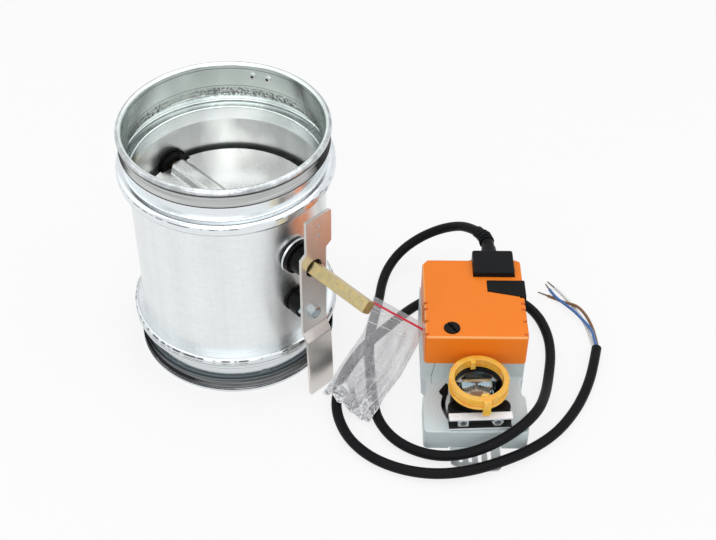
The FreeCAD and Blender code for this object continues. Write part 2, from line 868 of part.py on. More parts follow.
def gear(teeth, low, high, phase, bore):
    """Spur gear with involute flanks, 20 degree pressure angle, a tooth centred at phase degrees."""
    pitch = module * teeth / 2
    base = pitch * math.cos(math.radians(20))
    tip, root = pitch + 0.92 * module, pitch - 1.22 * module
    half = math.pi / (2 * teeth) - backlash / (2 * pitch) + involute(base, pitch)
    start = max(root + 0.15, base)
    radii = [start, (start + pitch) / 2 if start < pitch else pitch, (pitch + tip) / 2, tip]
    points = []
    for k in range(teeth):
        centre = math.radians(phase + 360.0 * k / teeth)
        flank = [(r, half - involute(base, r)) for r in radii]
        flank = [(root, half - involute(base, start) + 0.01)] + flank
        points += [Vector(r * math.cos(centre - a), r * math.sin(centre - a), low) for r, a in flank]
        points += [Vector(r * math.cos(centre + a), r * math.sin(centre + a), low) for r, a in flank[::-1]]
    body = Part.Face(Part.makePolygon(points + points[:1])).extrude(Z * (high - low))
    return body.cut(Part.makeCylinder(bore, high - low + 2, Vector(0, 0, low - 1))) if bore else body


def centre_distance(one, other):
    return module * (one + other) / 2


def stepped(axis, lean, distance):
    """The next axis, shifted across by lean and the rest of the distance along."""
    return (axis[0] + lean, axis[1] + math.sqrt(distance ** 2 - lean ** 2))


def meshed_phase(axis, teeth, phase, other_axis, other_teeth):
    """Phase that puts the other gear's gap opposite this gear's tooth."""
    toward = math.degrees(math.atan2(other_axis[1] - axis[1], other_axis[0] - axis[0]))
    return toward + 180 + (180 - teeth * (phase - toward)) / other_teeth


hub_axis = (hub_across, hub_along)
first_axis = stepped(hub_axis, 0.0, centre_distance(hub_teeth, first_pinion_teeth))
second_axis = stepped(first_axis, second_gear_lean, centre_distance(first_wheel_teeth, second_pinion_teeth))
motor_axis = stepped(second_axis, motor_lean, centre_distance(second_wheel_teeth, motor_teeth))
first_phase = meshed_phase(hub_axis, hub_teeth, hub_rest_turn, first_axis, first_pinion_teeth)
second_phase = meshed_phase(first_axis, first_wheel_teeth, first_phase, second_axis, second_pinion_teeth)
motor_phase = meshed_phase(second_axis, second_wheel_teeth, second_phase, motor_axis, motor_teeth)
wheel_level = gear_level + gear_face + gap
top_level = wheel_level + wheel_face + 0.7
bearing_floor = floor_low + floor_thickness + gap


def moved(shape, axis):
    return shape.translated(Vector(axis[0], axis[1], 0))


def hub_gear():
    """Toothed sector on the hub: it meshes over the whole travel and clears the front wall."""
    top = gear_level + gear_face
    wheel = gear(hub_teeth, gear_level, top, hub_rest_turn, neck_radius)
    bare = arc_bar(sector_rim, module * hub_teeth, 90 + hub_travel + sector_margin, 90 - sector_margin + 360,
                   gear_level - 1, top + 1)
    return moved(wheel.cut(bare), hub_axis)


def first_gear():
    bore = arbor_radius + running
    pinion = gear(first_pinion_teeth, bearing_floor, wheel_level, first_phase, bore)
    wheel = gear(first_wheel_teeth, wheel_level, wheel_level + wheel_face, first_phase, bore)
    return moved(fused([pinion, wheel]), first_axis)


def second_gear():
    bore = arbor_radius + running
    foot = Part.makeCylinder(3.6, wheel_level - bearing_floor, Vector(0, 0, bearing_floor))
    foot = foot.cut(Part.makeCylinder(bore, 20))
    pinion = gear(second_pinion_teeth, wheel_level, top_level, second_phase, bore)
    wheel = gear(second_wheel_teeth, top_level, top_level + wheel_face, second_phase, bore)
    return moved(fused([foot, pinion, wheel]), second_axis)


def motor_pinion():
    teeth = gear(motor_teeth, top_level, top_level + wheel_face + 0.3, motor_phase, 0)
    axle = Part.makeCylinder(motor_shaft_radius, 9, Vector(0, 0, top_level + wheel_face))
    return moved(fused([teeth, axle]), motor_axis)


def motor_body():
    low = gear_plate_low + gear_plate_thickness + seated
    can = turned([(0, low), (motor_radius, low), (motor_radius, low + motor_height), (0, low + motor_height)],
                 [0, 1.0, 1.5, 0])
    nose = Part.makeCylinder(5, 2, Vector(0, 0, low + motor_height - 0.5))
    bore = Part.makeCylinder(motor_shaft_radius + running, 9.5, Vector(0, 0, low - 1))
    return moved(fused([can, nose]).cut(bore), motor_axis)


def gear_plate():
    wall = housing_wall + 0.4
    front, back = wall_front + wall, housing_length - wall
    flat = [(wall, front), (housing_width - wall, front), (housing_width - wall, back), (wall, back)]
    plate_body = prism(flat, gear_plate_low, gear_plate_low + gear_plate_thickness, [2] * 4)
    pinion_room = module * motor_teeth / 2 + 1.6
    return cut(plate_body, [upright(second_axis[0], second_axis[1], arbor_radius + seated, 10, 30),
                            upright(motor_axis[0], motor_axis[1], pinion_room, 10, 30)])


def gear_arbors():
    low = floor_low + 0.1
    first = upright(first_axis[0], first_axis[1], arbor_radius, low, deck_height - deck_thickness - seated)
    second = upright(second_axis[0], second_axis[1], arbor_radius, low, gear_plate_low + gear_plate_thickness)
    return Part.makeCompound([first, second])


def board_corners():
    right = housing_width - 9
    return [(9, 55), (right, 52), (9, housing_length - 23), (right, housing_length - 40)]


def circuit_board():
    low = board_top - board_thickness
    corner = board_right - 5, board_back - 12.8
    flat = [(5, 50), (board_right, 50), (board_right, corner[1] - 5), corner, (corner[0], board_back),
            (5, board_back)]
    return prism(flat, low, board_top, [1] * 6)


def board_components():
    """Relay, capacitor, terminal row, switch under the knob and key under the button."""
    top = board_top + seated
    pieces = [
        box((14, 64, top), (30, 76, top + 8)),
        upright(40, 62, 4.5, top, top + 9),
        box((board_right - 27, board_back - 7.8, top), (board_right - 6, board_back - 1.3, top + 4)),
        box((board_right - 25, 72, top), (board_right - 9, 74.5, top + 4)),
        upright(24, 86, 3.2, top, top + 7),
    ]
    return Part.makeCompound(pieces)


def make_gearbox():
    keep("base_housing", base_housing())
    keep("base_floor", base_floor())
    keep("foot_screws", foot_screws())
    keep("top_cover", cover())
    keep("release_button", release_button())
    keep("direction_knob", direction_knob())
    keep("hub_gear", hub_gear())
    keep("first_gear", first_gear())
    keep("second_gear", second_gear())
    keep("motor_pinion", motor_pinion())
    keep("motor_body", motor_body())
    keep("gear_plate", gear_plate())
    keep("gear_arbors", gear_arbors())
    keep("circuit_board", circuit_board())
    keep("board_components", board_components())


# Output hub and shaft clamp, in the hub's frame
def output_hub():
    foot = Part.makeCylinder(foot_radius, gear_level - floor_low - 0.1, Vector(0, 0, floor_low + 0.1))
    neck = Part.makeCylinder(neck_radius, collar_low - gear_level, Vector(0, 0, gear_level))
    flange = Part.makeCylinder(collar_radius, collar_top - collar_low, Vector(0, 0, collar_low))
    front = box((-collar_radius, -collar_radius, collar_low), (collar_radius, bar_front, collar_top))
    flange = flange.cut(front)
    cup = Part.makeCylinder(cup_radius, cup_top - collar_top, Vector(0, 0, collar_top))
    depth = bar_back - bar_front
    bar = prism([(-bar_half_length, bar_front), (bar_half_length, bar_front), (bar_half_length, bar_back),
                 (-bar_half_length, bar_back)], collar_low, collar_top, [depth * 0.48] * 4)
    bar = with_fillet(bar, 1.5, lambda e: abs(e.BoundBox.ZMin - collar_top) < 0.01)
    body = fused([foot, neck, flange, cup, bar])
    pocket = Part.makeCylinder(cup_bore, 40, Vector(0, 0, cup_floor))
    bore = Part.makeCylinder(bore_radius + seated, 60, Vector(0, 0, -5))
    legs = []
    for x in (-bolt_spread, bolt_spread):
        legs.append(rod(Vector(x, -30, clamp_bolt_height), Y, clamp_bolt_radius + 0.1, 30))
    return cut(body, [pocket, bore] + legs)


def shaft_insert():
    """Form-fit insert with the square hole for an 8 mm bar."""
    disc = Part.makeCylinder(bore_radius, insert_top - floor_low - 0.3, Vector(0, 0, floor_low + 0.3))
    half = square_hole / 2
    return disc.cut(box((-half, -half, -1), (half, half, insert_top + 1)))


def clamp_bolt():
    """U-shaped bolt round the insert; both legs reach through the channel."""
    centre_y = 2.0
    path = Part.Wire([
        Part.LineSegment(Vector(-bolt_spread, clamp_bolt_tip, clamp_bolt_height),
                         Vector(-bolt_spread, centre_y, clamp_bolt_height)).toShape(),
        Part.Arc(Vector(-bolt_spread, centre_y, clamp_bolt_height),
                 Vector(0, centre_y + bolt_spread, clamp_bolt_height),
                 Vector(bolt_spread, centre_y, clamp_bolt_height)).toShape(),
        Part.LineSegment(Vector(bolt_spread, centre_y, clamp_bolt_height),
                         Vector(bolt_spread, clamp_bolt_tip, clamp_bolt_height)).toShape(),
    ])
    tip = Vector(-bolt_spread, clamp_bolt_tip, clamp_bolt_height)
    circle = Part.Wire(Part.makeCircle(clamp_bolt_radius, tip, Y))
    return path.makePipeShell([circle], True, False)


def clamp_channel():
    """Bright steel channel, open to the front, that the nuts pull back."""
    front = bar_front - 0.1 - channel_depth
    web_back = bar_front - 0.1
    low = collar_low + 0.1
    outer = box((-bar_half_length, front, low), (bar_half_length, web_back, low + channel_height))
    room = box((-bar_half_length - 1, front - 1, low + channel_sheet),
               (bar_half_length + 1, web_back - channel_sheet, low + channel_height - channel_sheet))
    holes = [rod(Vector(x, -30, clamp_bolt_height), Y, clamp_bolt_radius + 0.15, 20)
             for x in (-bolt_spread, bolt_spread)]
    holes.append(rod(Vector(1.4, -30, clamp_bolt_height), Y, eyelet_radius - 0.6, 20))
    eyelet = rod(Vector(1.4, web_back - channel_sheet - 0.6, clamp_bolt_height), Y, eyelet_radius, 1)
    channel = with_fillet(outer.cut(room), 0.7, lambda e: abs(e.BoundBox.YMin - web_back) < 0.01
                          and e.BoundBox.XLength > bar_half_length)
    return cut(fused([channel, eyelet]), holes)


def clamp_nuts():
    """One square and one round nut on the bolt's two legs."""
    start = bar_front - 0.1 - channel_sheet - seated
    half = clamp_nut_hex / 2
    square = box((-bolt_spread - half, start - clamp_nut_height, clamp_bolt_height - half),
                 (-bolt_spread + half, start, clamp_bolt_height + half - 0.6))
    other = hexagon(Vector(bolt_spread, start, clamp_bolt_height), Y * -1, clamp_nut_hex, clamp_nut_height)
    nuts = []
    for nut, x in ((square, -bolt_spread), (other, bolt_spread)):
        nuts.append(nut.cut(rod(Vector(x, -30, clamp_bolt_height), Y, clamp_bolt_radius + seated, 30)))
    return Part.makeCompound(nuts)


def toothed_jaw():
    """Jaw plate behind the bore, with a serrated V on its front and a curved wall along the cup."""
    plate_part = box((-jaw_half_width, jaw_front, jaw_low), (jaw_half_width, jaw_back, jaw_top))
    wall = arc_bar(cup_bore - gap - jaw_wall, cup_bore - gap, 22, 158, jaw_low, jaw_top + 1.5)
    blocks = [plate_part, wall]
    for side in (-1, 1):
        flat = [(side * 0.6, jaw_front + 0.2), (side * 0.6, jaw_front)]
        step = (jaw_half_width - 3.4) / tooth_count
        for k in range(tooth_count):
            x0 = 0.6 + k * step
            depth = 0.6 + 3.2 * (k + 1) / tooth_count
            flat.append((side * (x0 + step * 0.35), jaw_front - depth))
            flat.append((side * (x0 + step), jaw_front - depth + 0.75))
        flat += [(side * (0.6 + tooth_count * step), jaw_front + 0.2)]
        blocks.append(prism(flat, jaw_low, jaw_low + 4.4))
    return fused(blocks)


def indicator_ring():
    """Clip-on ring with a flanged wall and two pointer tabs."""
    middle = (ring_low + ring_top) / 2
    wall_in = cup_radius + running
    ring = turned([
        (wall_in, ring_low), (ring_outer, ring_low), (ring_outer, ring_low + ring_web),
        (wall_in + 1.6, ring_low + ring_web + 0.6),
        (wall_in + 1.6, ring_top - ring_web - 1.4), (ring_outer, ring_top - ring_web), (ring_outer, ring_top),
        (ring_inner, ring_top), (ring_inner, ring_top - ring_web - 0.4), (cup_radius - 0.7, cup_top + gap),
        (wall_in, cup_top + gap),
    ], [0, 0.5, 0.5, 0.8, 0.8, 0.5, 0.8, 0.6, 0, 0, 0])
    half = tab_width / 2
    front = box((-half, -ring_outer - 1.9, ring_low - 3.6), (half, -ring_outer + 0.6, ring_top - 1.2))
    shelf = box((-half, -ring_outer - 1.9, ring_top - 2.4), (half, -ring_inner + 2.2, ring_top - 0.6))
    half = back_tab_width / 2
    back = box((-half, cup_bore - 2.0, cup_top + gap + 0.2), (half, cup_bore - 0.6, ring_top - 0.6))
    bridge = box((-half, cup_bore - 2.0, ring_top - 2.2), (half, ring_inner + 1.2, ring_top - 0.6))
    return fused([ring, front, shelf, back, bridge])


def end_stop():
    """Sliding stop in the deck's curved slot, with its triangular pointer."""
    half = stop_width / 2
    start = stop_from + 1.0
    end = start + stop_span
    under = deck_height - deck_thickness - gap
    top = deck_height + gap + pointer_thickness
    body = arc_bar(stop_radius - half, stop_radius + half, start, end, under - 0.5, top)
    inner, outer = stop_radius - stop_lip, stop_radius + stop_lip
    lip = arc_bar(inner, outer, start, end, under - stop_lip_thickness, under)
    corners = [radial(angle) * radius for angle, radius in pointer_outline]
    pointer = prism([(c.x, c.y) for c in corners], deck_height + gap, top)
    return fused([body, lip, pointer])


def make_hub():
    keep("output_hub", at_hub(output_hub()))
    keep("shaft_insert", at_hub(shaft_insert()))
    keep("clamp_bolt", at_hub(clamp_bolt()))
    keep("clamp_channel", at_hub(clamp_channel()))
    keep("clamp_nuts", at_hub(clamp_nuts()))
    keep("toothed_jaw", at_hub(toothed_jaw()))
    keep("indicator_ring", at_hub(indicator_ring(), ring_turn))
    keep("end_stop", at_hub(end_stop(), 0))


# Plug and strain relief, in the actuator's frame
def plug_housing():
    body = box((plug_left, plug_front, plug_low), (plug_right, plug_back, plug_top))
    body = with_fillet(body, 1.6, lambda e: e.BoundBox.ZLength > 10)
    return with_fillet(body, 1.2, lambda e: abs(e.BoundBox.ZMin - plug_top) < 0.01)


relief_route = [
    Vector(relief_across, plug_back + seated, relief_height),
    Vector(relief_across, plug_back + 14.6, relief_height),
    Vector(relief_across - 1.7, plug_back + 23.2, relief_height - 0.4),
    Vector(relief_across - 6.3, plug_back + 30.3, relief_height - 1.5),
]


def strain_relief():
    """Tapered sleeve that bends with the cable, with ribs near its tip."""
    first, second, third, last = relief_route
    path = rounded_wire(relief_route, [0, 16, 12, 0], closed=False)
    circle = Part.Wire(Part.makeCircle(relief_tip_radius, first, second - first))
    sleeve = path.makePipeShell([circle], True, False)
    root = Part.makeCone(relief_radius + 1.2, relief_radius, 11, first, second - first)
    pieces = [sleeve, root]
    for k in range(rib_count):
        share = k / (rib_count - 1.0)
        spot = third + (last - third) * (share * 0.8 - 0.55)
        if share < 0.45:
            spot = second + (third - second) * (0.45 + share)
        aim = (third - second) if share < 0.45 else (last - third)
        aim = Vector(aim).normalize()
        pieces.append(rod(spot - aim * 0.6, aim, relief_radius + 0.3 - 0.5 * share, 1.2))
    return fused(pieces)


def make_plug():
    keep("plug_housing", plug_housing())
    keep("strain_relief", strain_relief())


# Anti-rotation strap under the base's front
def anti_rotation_strap():
    left, right = strap_left, strap_right
    flat = [(left, strap_depth), (left, -strap_reach + 5), (left + 4, -strap_reach + 2.5),
            (right - 14, -strap_reach + 2.5),
            (right - 10, -strap_reach), (right, -strap_reach), (right, strap_depth)]
    strap = prism(flat, 0, strap_thickness, [0, 2, 2, 0, 3, 4, 0])
    slots = [box((left + 5 + 6 * k, -strap_reach + 6.5, -1), (left + 7.4 + 6 * k, -2.5, 3)) for k in range(4)]
    return cut(strap, slots)


# Cable, wires and bare ends: the route is chosen by hand, in the part's frame
cable_points = [
    (85.3, 147.0, 47.4),
    (75.6, 149.0, 45.3),
    (64.0, 149.0, 40.2),
    (52.0, 143.8, 31.6),
    (42.6, 134.0, 22.4),
    (37.8, 121.0, 13.4),
    (38.8, 107.6, 6.8),
    (45.1, 95.2, 3.8),
    (56.0, 81.5, 3.6),
    (69.3, 61.0, 3.6),
    (85.0, 42.6, 3.6),
    (103.3, 26.4, 3.6),
    (118.5, 13.2, 3.6),
    (133.5, 3.6, 3.6),
    (151.5, 0.2, 3.6),
    (169.2, 4.2, 3.9),
    (184.0, 13.0, 5.6),
    (195.6, 24.6, 10.4),
    (204.4, 38.6, 17.0),
    (208.6, 55.6, 21.6),
    (206.0, 74.0, 19.6),
    (197.0, 92.4, 11.6),
    (186.0, 110.0, 4.8),
    (171.8, 130.2, 3.6),
    (157.0, 143.6, 3.6),
    (139.5, 152.4, 3.6),
    (120.5, 152.8, 3.6),
    (102.5, 144.8, 3.6),
    (88.0, 130.5, 3.6),
    (79.0, 112.0, 3.6),
    (77.0, 92.5, 4.0),
    (80.0, 75.5, 7.6),
    (84.6, 60.0, 13.4),
    (87.8, 45.6, 17.3),
    (89.8, 31.0, 17.3),
    (91.8, 17.0, 12.4),
    (95.6, 4.6, 7.0),
    (104.4, -6.6, 4.0),
    (116.5, -14.6, 3.6),
    (131.5, -20.0, 3.6),
    (149.0, -20.4, 3.6),
    (166.0, -15.4, 3.7),
    (181.4, -6.8, 4.4),
    (194.2, 4.8, 5.4),
    (204.0, 19.8, 5.8),
    (211.0, 36.4, 5.6),
    (216.4, 55.6, 4.4),
    (218.8, 77.6, 3.6),
    (216.0, 99.5, 3.6),
    (209.6, 120.0, 3.6),
    (200.6, 139.0, 3.6),
    (190.2, 156.0, 3.6),
]
blue_points = [
    (190.0, 156.3, 4.9),
    (186.4, 162.0, 4.5),
    (180.4, 166.0, 3.8),
    (173.0, 169.6, 3.5),
    (164.5, 172.6, 3.5),
    (155.8, 174.6, 3.1),
    (146.5, 175.2, 1.9),
    (138.6, 175.8, 1.4),
    (130.8, 178.4, 1.6),
]
brown_points = [
    (189.0, 155.7, 2.8),
    (184.6, 161.6, 1.7),
    (177.6, 165.4, 1.2),
    (168.8, 168.0, 1.15),
    (159.0, 170.4, 1.15),
    (149.0, 172.2, 1.15),
    (139.5, 173.0, 1.2),
    (132.4, 172.0, 1.3),
]
white_points = [
    (191.0, 156.9, 2.8),
    (186.6, 163.0, 1.8),
    (180.6, 167.2, 1.2),
    (173.2, 170.6, 1.15),
    (164.5, 173.6, 1.15),
    (155.5, 176.2, 1.15),
    (146.5, 178.6, 1.2),
    (138.0, 181.4, 1.4),
    (129.0, 183.3, 1.6),
]


def natural_radii(points):
    """Each corner's arc as large as its two runs allow."""
    radii = [0]
    for before, here, after in zip(points, points[1:], points[2:]):
        one, two = here - before, after - here
        turn = one.getAngle(two)
        radii.append(0.45 * min(one.Length, two.Length) / math.tan(turn / 2))
    return radii + [0]


def tube(name, triples, radius):
    """A round tube of straight runs and tangent arcs, with its size printed as a check."""
    points = [Vector(*triple) for triple in triples]
    radii = natural_radii(points)
    path = rounded_wire(points, radii, closed=False)
    circle = Part.Wire(Part.makeCircle(radius, points[0], points[1] - points[0]))
    body = path.makePipeShell([circle], True, False)
    ideal = math.pi * radius ** 2 * path.Length
    print(name, "length", round(path.Length, 1), "volume share", round(body.Volume / ideal, 4),
          "least radius", round(min(radii[1:-1]), 1),
          "in diameters", round(min(radii[1:-1]) / (2 * radius), 1))
    return body


def bare_core(triples):
    """Short bare strand end beyond the insulation."""
    before, last = Vector(*triples[-2]), Vector(*triples[-1])
    return rod(last, (last - before).normalize(), core_radius, core_length)


def make_cable():
    keep("cable", tube("cable", cable_points, cable_radius))
    keep("wire_blue", tube("wire_blue", blue_points, wire_radius))
    keep("wire_brown", tube("wire_brown", brown_points, wire_radius))
    keep("wire_white", tube("wire_white", white_points, wire_radius))
    keep("bare_cores", Part.makeCompound([bare_core(p) for p in (blue_points, brown_points, white_points)]))


# Small zip bag leaning between the shaft's end and the actuator
def bag_section(left, right, thickness, lean):
    """A thin rectangle across the bag from its left to its right edge."""
    left, right = Vector(*left), Vector(*right)
    across = lean * (thickness / 2)
    points = [left - across, right - across, right + across, left + across]
    return Part.makePolygon(points + points[:1])


def zip_bag():
    """Its top edge leans on the shaft's end and the cover, its foot stands on the floor."""
    lean = Vector(0.72, -0.42, 0.55).normalize()
    sections = [
        bag_section((121.8, 8.2, 103.6), (127.3, 49.65, 52.0), bag_top_thickness, lean),
        bag_section((112.6, 9.8, 68.0), (124.1, 37.5, 38.0), 4.0, lean),
        bag_section((99.0, 2.0, 30.0), (126.0, 24.0, 21.0), bag_bottom_thickness, lean),
        bag_section((98.0, -1.0, 14.5), (122.0, 10.0, 14.0), bag_bottom_thickness * 0.7, lean),
        bag_section((113.0, -3.0, 1.4), (121.0, -2.0, 1.0), 2.0, lean),
    ]
    return Part.makeLoft(sections, True, True)


def main():
    make_duct()
    make_bearings()
    make_blade()
    make_bracket()
    make_gearbox()
    make_hub()
    make_plug()
    keep("anti_rotation_strap", anti_rotation_strap())
    actuator = [
        "base_housing", "base_floor", "foot_screws", "top_cover", "release_button", "direction_knob", "hub_gear",
        "first_gear", "second_gear", "motor_pinion", "motor_body", "gear_plate", "gear_arbors", "circuit_board",
        "board_components", "output_hub", "shaft_insert", "clamp_bolt", "clamp_channel", "clamp_nuts",
        "toothed_jaw", "indicator_ring", "end_stop", "plug_housing", "strain_relief", "anti_rotation_strap",
    ]
    for name in actuator:
        parts[name] = placed(parts[name])
    make_cable()
    keep("zip_bag", zip_bag())
    os.makedirs("parts", exist_ok=True)
    for name, shape in parts.items():
        solids = shape.Solids
        valid = shape.isValid() and all(s.isClosed() for s in solids)
        print(name, "solids", len(solids), "volume", round(shape.Volume, 1), "" if valid else "NOT VALID")
        shape.exportStep("parts/" + name + ".step")


main()
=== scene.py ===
# %% [markdown]
# # Dressing a motorized air damper
# The solids of the damper and its actuator come from a packed CAD part. This script gives them their
# finishes, and it makes what a solid can't show well: the cable, its wires and the clear bag. The frame
# is loaded first.

# %% Load the frame
import json
import math
import random
import bpy
from mathutils import Matrix, Vector, noise


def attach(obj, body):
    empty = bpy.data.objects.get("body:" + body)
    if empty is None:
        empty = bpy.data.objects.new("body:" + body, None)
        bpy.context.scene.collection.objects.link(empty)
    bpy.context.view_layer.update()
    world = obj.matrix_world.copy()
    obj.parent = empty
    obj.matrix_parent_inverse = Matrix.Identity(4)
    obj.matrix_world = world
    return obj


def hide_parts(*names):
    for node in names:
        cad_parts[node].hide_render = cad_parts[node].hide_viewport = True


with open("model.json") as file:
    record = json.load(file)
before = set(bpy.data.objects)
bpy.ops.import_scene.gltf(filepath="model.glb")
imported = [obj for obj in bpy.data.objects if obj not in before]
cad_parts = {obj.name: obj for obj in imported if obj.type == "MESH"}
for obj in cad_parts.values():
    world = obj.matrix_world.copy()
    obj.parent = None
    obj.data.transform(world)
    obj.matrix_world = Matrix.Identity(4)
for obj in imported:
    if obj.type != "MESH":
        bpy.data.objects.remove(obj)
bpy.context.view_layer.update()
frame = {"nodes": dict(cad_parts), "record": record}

nodes = frame["nodes"]
slot_of = {row["node"]: row["material_slot"] for row in frame["record"]["subparts"]}
mm = 0.001

# %% [markdown]
# ## Camera
# A camera can be aimed at a target or given its three axes. The axes are used here, because they were
# fitted together with the lens, and they carry the small roll that an aimed camera would lose.

# %% Camera
def placed(name, data):
    """An object with this data, linked into the scene."""
    made = bpy.data.objects.new(name, data)
    bpy.context.scene.collection.objects.link(made)
    return made


camera_place = Vector((0.50769, -0.38773, 0.65347))
camera_right = Vector((0.698268, 0.715781, 0.008843)).normalized()
camera_forward = Vector((-0.513995, 0.509942, -0.689760)).normalized()
camera_lens = 65.89

camera_up = camera_right.cross(camera_forward)
camera = placed("camera", bpy.data.cameras.new("camera"))
axes = Matrix((camera_right, camera_up, -camera_forward)).transposed()
camera.matrix_world = Matrix.Translation(camera_place) @ axes.to_4x4()
camera.data.lens = camera_lens
camera.data.clip_start = 0.01
bpy.context.scene.camera = camera
bpy.context.scene.view_settings.view_transform = "Standard"
print("camera height:", round(camera_place.z, 3))

# %% [markdown]
# ## Cable and wires
# A real cable keeps one thickness and bends smoothly, so a curve with a round bevel suits it better than
# a mesh. Its thickness is set as the radius of its points, with a bevel of one metre to scale. A NURBS
# curve is used rather than Bezier handles: its line is drawn towards the points without touching them,
# which gives the loose sweep of a stiff cable that was laid down by hand.

# %% Cable routes, in millimetres
cable_route = [
    (85.3, 147.0, 47.4), (75.6, 149.0, 44.0), (64.0, 149.0, 37.6), (52.0, 143.8, 29.4),
    (42.6, 134.0, 21.0), (37.8, 121.0, 13.4), (38.8, 107.6, 6.8), (45.1, 95.2, 3.8),
    (56.0, 81.5, 3.6), (69.3, 61.0, 3.6), (85.0, 42.6, 3.6), (103.3, 26.4, 3.6),
    (118.5, 13.2, 3.6), (133.5, 3.6, 3.6), (151.5, 0.2, 3.6), (169.2, 4.2, 3.9),
    (184.0, 13.0, 5.6), (195.6, 24.6, 10.4), (204.4, 38.6, 17.0), (208.6, 55.6, 21.6),
    (206.0, 74.0, 19.6), (197.0, 92.4, 11.6), (186.0, 110.0, 4.8), (171.8, 130.2, 3.6),
    (157.0, 143.6, 3.6), (139.5, 152.4, 3.6), (120.5, 152.8, 3.6), (102.5, 144.8, 3.6),
    (88.0, 130.5, 3.6), (79.0, 112.0, 3.6), (77.0, 92.5, 4.0), (80.0, 75.5, 7.6),
    (84.6, 60.0, 13.4), (87.8, 45.6, 17.3), (89.8, 31.0, 17.3), (91.8, 17.0, 12.4),
    (95.6, 4.6, 7.0), (104.4, -6.6, 4.0), (116.5, -14.6, 3.6), (131.5, -20.0, 3.6),
    (149.0, -20.4, 3.6), (166.0, -15.4, 3.7), (181.4, -6.8, 4.4), (194.2, 4.8, 5.4),
    (204.0, 19.8, 5.8), (211.0, 36.4, 5.6), (216.4, 55.6, 4.4), (218.8, 77.6, 3.6),
    (216.0, 99.5, 3.6), (209.6, 120.0, 3.6), (200.6, 139.0, 3.6), (190.2, 156.0, 3.6),
]
blue_route = [
    (190.0, 156.3, 4.9), (185.7, 159.4, 4.6), (177.8, 166.7, 4.2), (166.1, 170.5, 3.6),
    (157.2, 172.8, 3.4), (146.8, 173.5, 3.5), (139.6, 174.2, 3.3), (133.5, 177.2, 1.9),
    (130.4, 178.8, 1.3),
]
brown_route = [
    (191.0, 156.9, 2.8), (184.7, 162.7, 2.4), (176.3, 170.2, 1.5), (168.2, 175.5, 1.3),
    (161.6, 177.7, 2.5), (156.2, 177.8, 3.7), (152.0, 176.9, 3.5), (145.3, 175.7, 1.6),
    (139.4, 174.7, 1.15), (133.5, 172.9, 1.3),
]
white_route = [
    (189.0, 155.7, 2.8), (186.1, 157.1, 2.6), (180.5, 162.1, 1.6), (170.2, 169.8, 1.2),
    (158.9, 175.6, 1.15), (149.0, 178.9, 1.15), (140.9, 181.1, 1.2), (135.9, 182.2, 1.4),
    (132.2, 182.5, 1.6),
]


def laid_cord(name, route, thickness, node):
    """A round cord along one smooth NURBS line through its route."""
    data = bpy.data.curves.new(name, "CURVE")
    data.dimensions = "3D"
    line = data.splines.new("NURBS")
    line.points.add(len(route) - 1)
    for point, place in zip(line.points, route):
        point.co = (*(Vector(place) * mm), 1)
        point.radius = thickness / 2
    line.order_u = 3
    line.use_endpoint_u = True
    line.resolution_u = 10
    data.bevel_depth = 1.0
    data.bevel_resolution = 5
    data.use_fill_caps = True
    cord = placed(name, data)
    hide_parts(node)
    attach(cord, "root")
    return cord


cable_thickness = 6.8 * mm
wire_thickness = 2.1 * mm
cable = laid_cord("cable_jacket", cable_route, cable_thickness, "cable")
blue_wire = laid_cord("blue_insulation", blue_route, wire_thickness, "wire_blue")
brown_wire = laid_cord("brown_insulation", brown_route, wire_thickness, "wire_brown")
white_wire = laid_cord("white_insulation", white_route, wire_thickness, "wire_white")
print("cords:", cable.name, blue_wire.name, brown_wire.name, white_wire.name)

# %% [markdown]
# ## Bare ends of the wires
# Each wire ends in a little bundle of copper strands with a slight twist. One rod would look like a pin,
# so seven thin strands are wound round the wire's own line, read from its curve.

# %% Copper strands
def line_of(cord):
    """The points of a cord's own centreline, read with its bevel off."""
    thick = cord.data.bevel_depth
    cord.data.bevel_depth = 0
    bare = bpy.data.meshes.new_from_object(cord.evaluated_get(bpy.context.evaluated_depsgraph_get()))
    points = [v.co.copy() for v in bare.vertices]
    cord.data.bevel_depth = thick
    bpy.data.meshes.remove(bare)
    return points


def strand_tube(path, radius, sides, verts, faces):
    """Adds one round strand along a path to lists of vertices and faces."""
    first = len(verts)
    for i, here in enumerate(path):
        ahead = path[min(i + 1, len(path) - 1)] - path[max(i - 1, 0)]
        side = ahead.cross(Vector((0, 0, 1))).normalized()
        over = side.cross(ahead).normalized()
        for k in range(sides):
            turn = 2 * math.pi * k / sides
            verts.append(here + (side * math.cos(turn) + over * math.sin(turn)) * radius)
    rings = len(path)
    for i in range(rings - 1):
        for k in range(sides):
            a, b = first + i * sides + k, first + i * sides + (k + 1) % sides
            faces.append((a, b, b + sides, a + sides))
    faces.append(tuple(first + k for k in reversed(range(sides))))
    faces.append(tuple(first + (rings - 1) * sides + k for k in range(sides)))


def mesh_object(name, verts, faces):
    """A mesh object of these vertices and faces."""
    mesh = bpy.data.meshes.new(name)
    mesh.from_pydata(verts, [], faces)
    return placed(name, mesh)


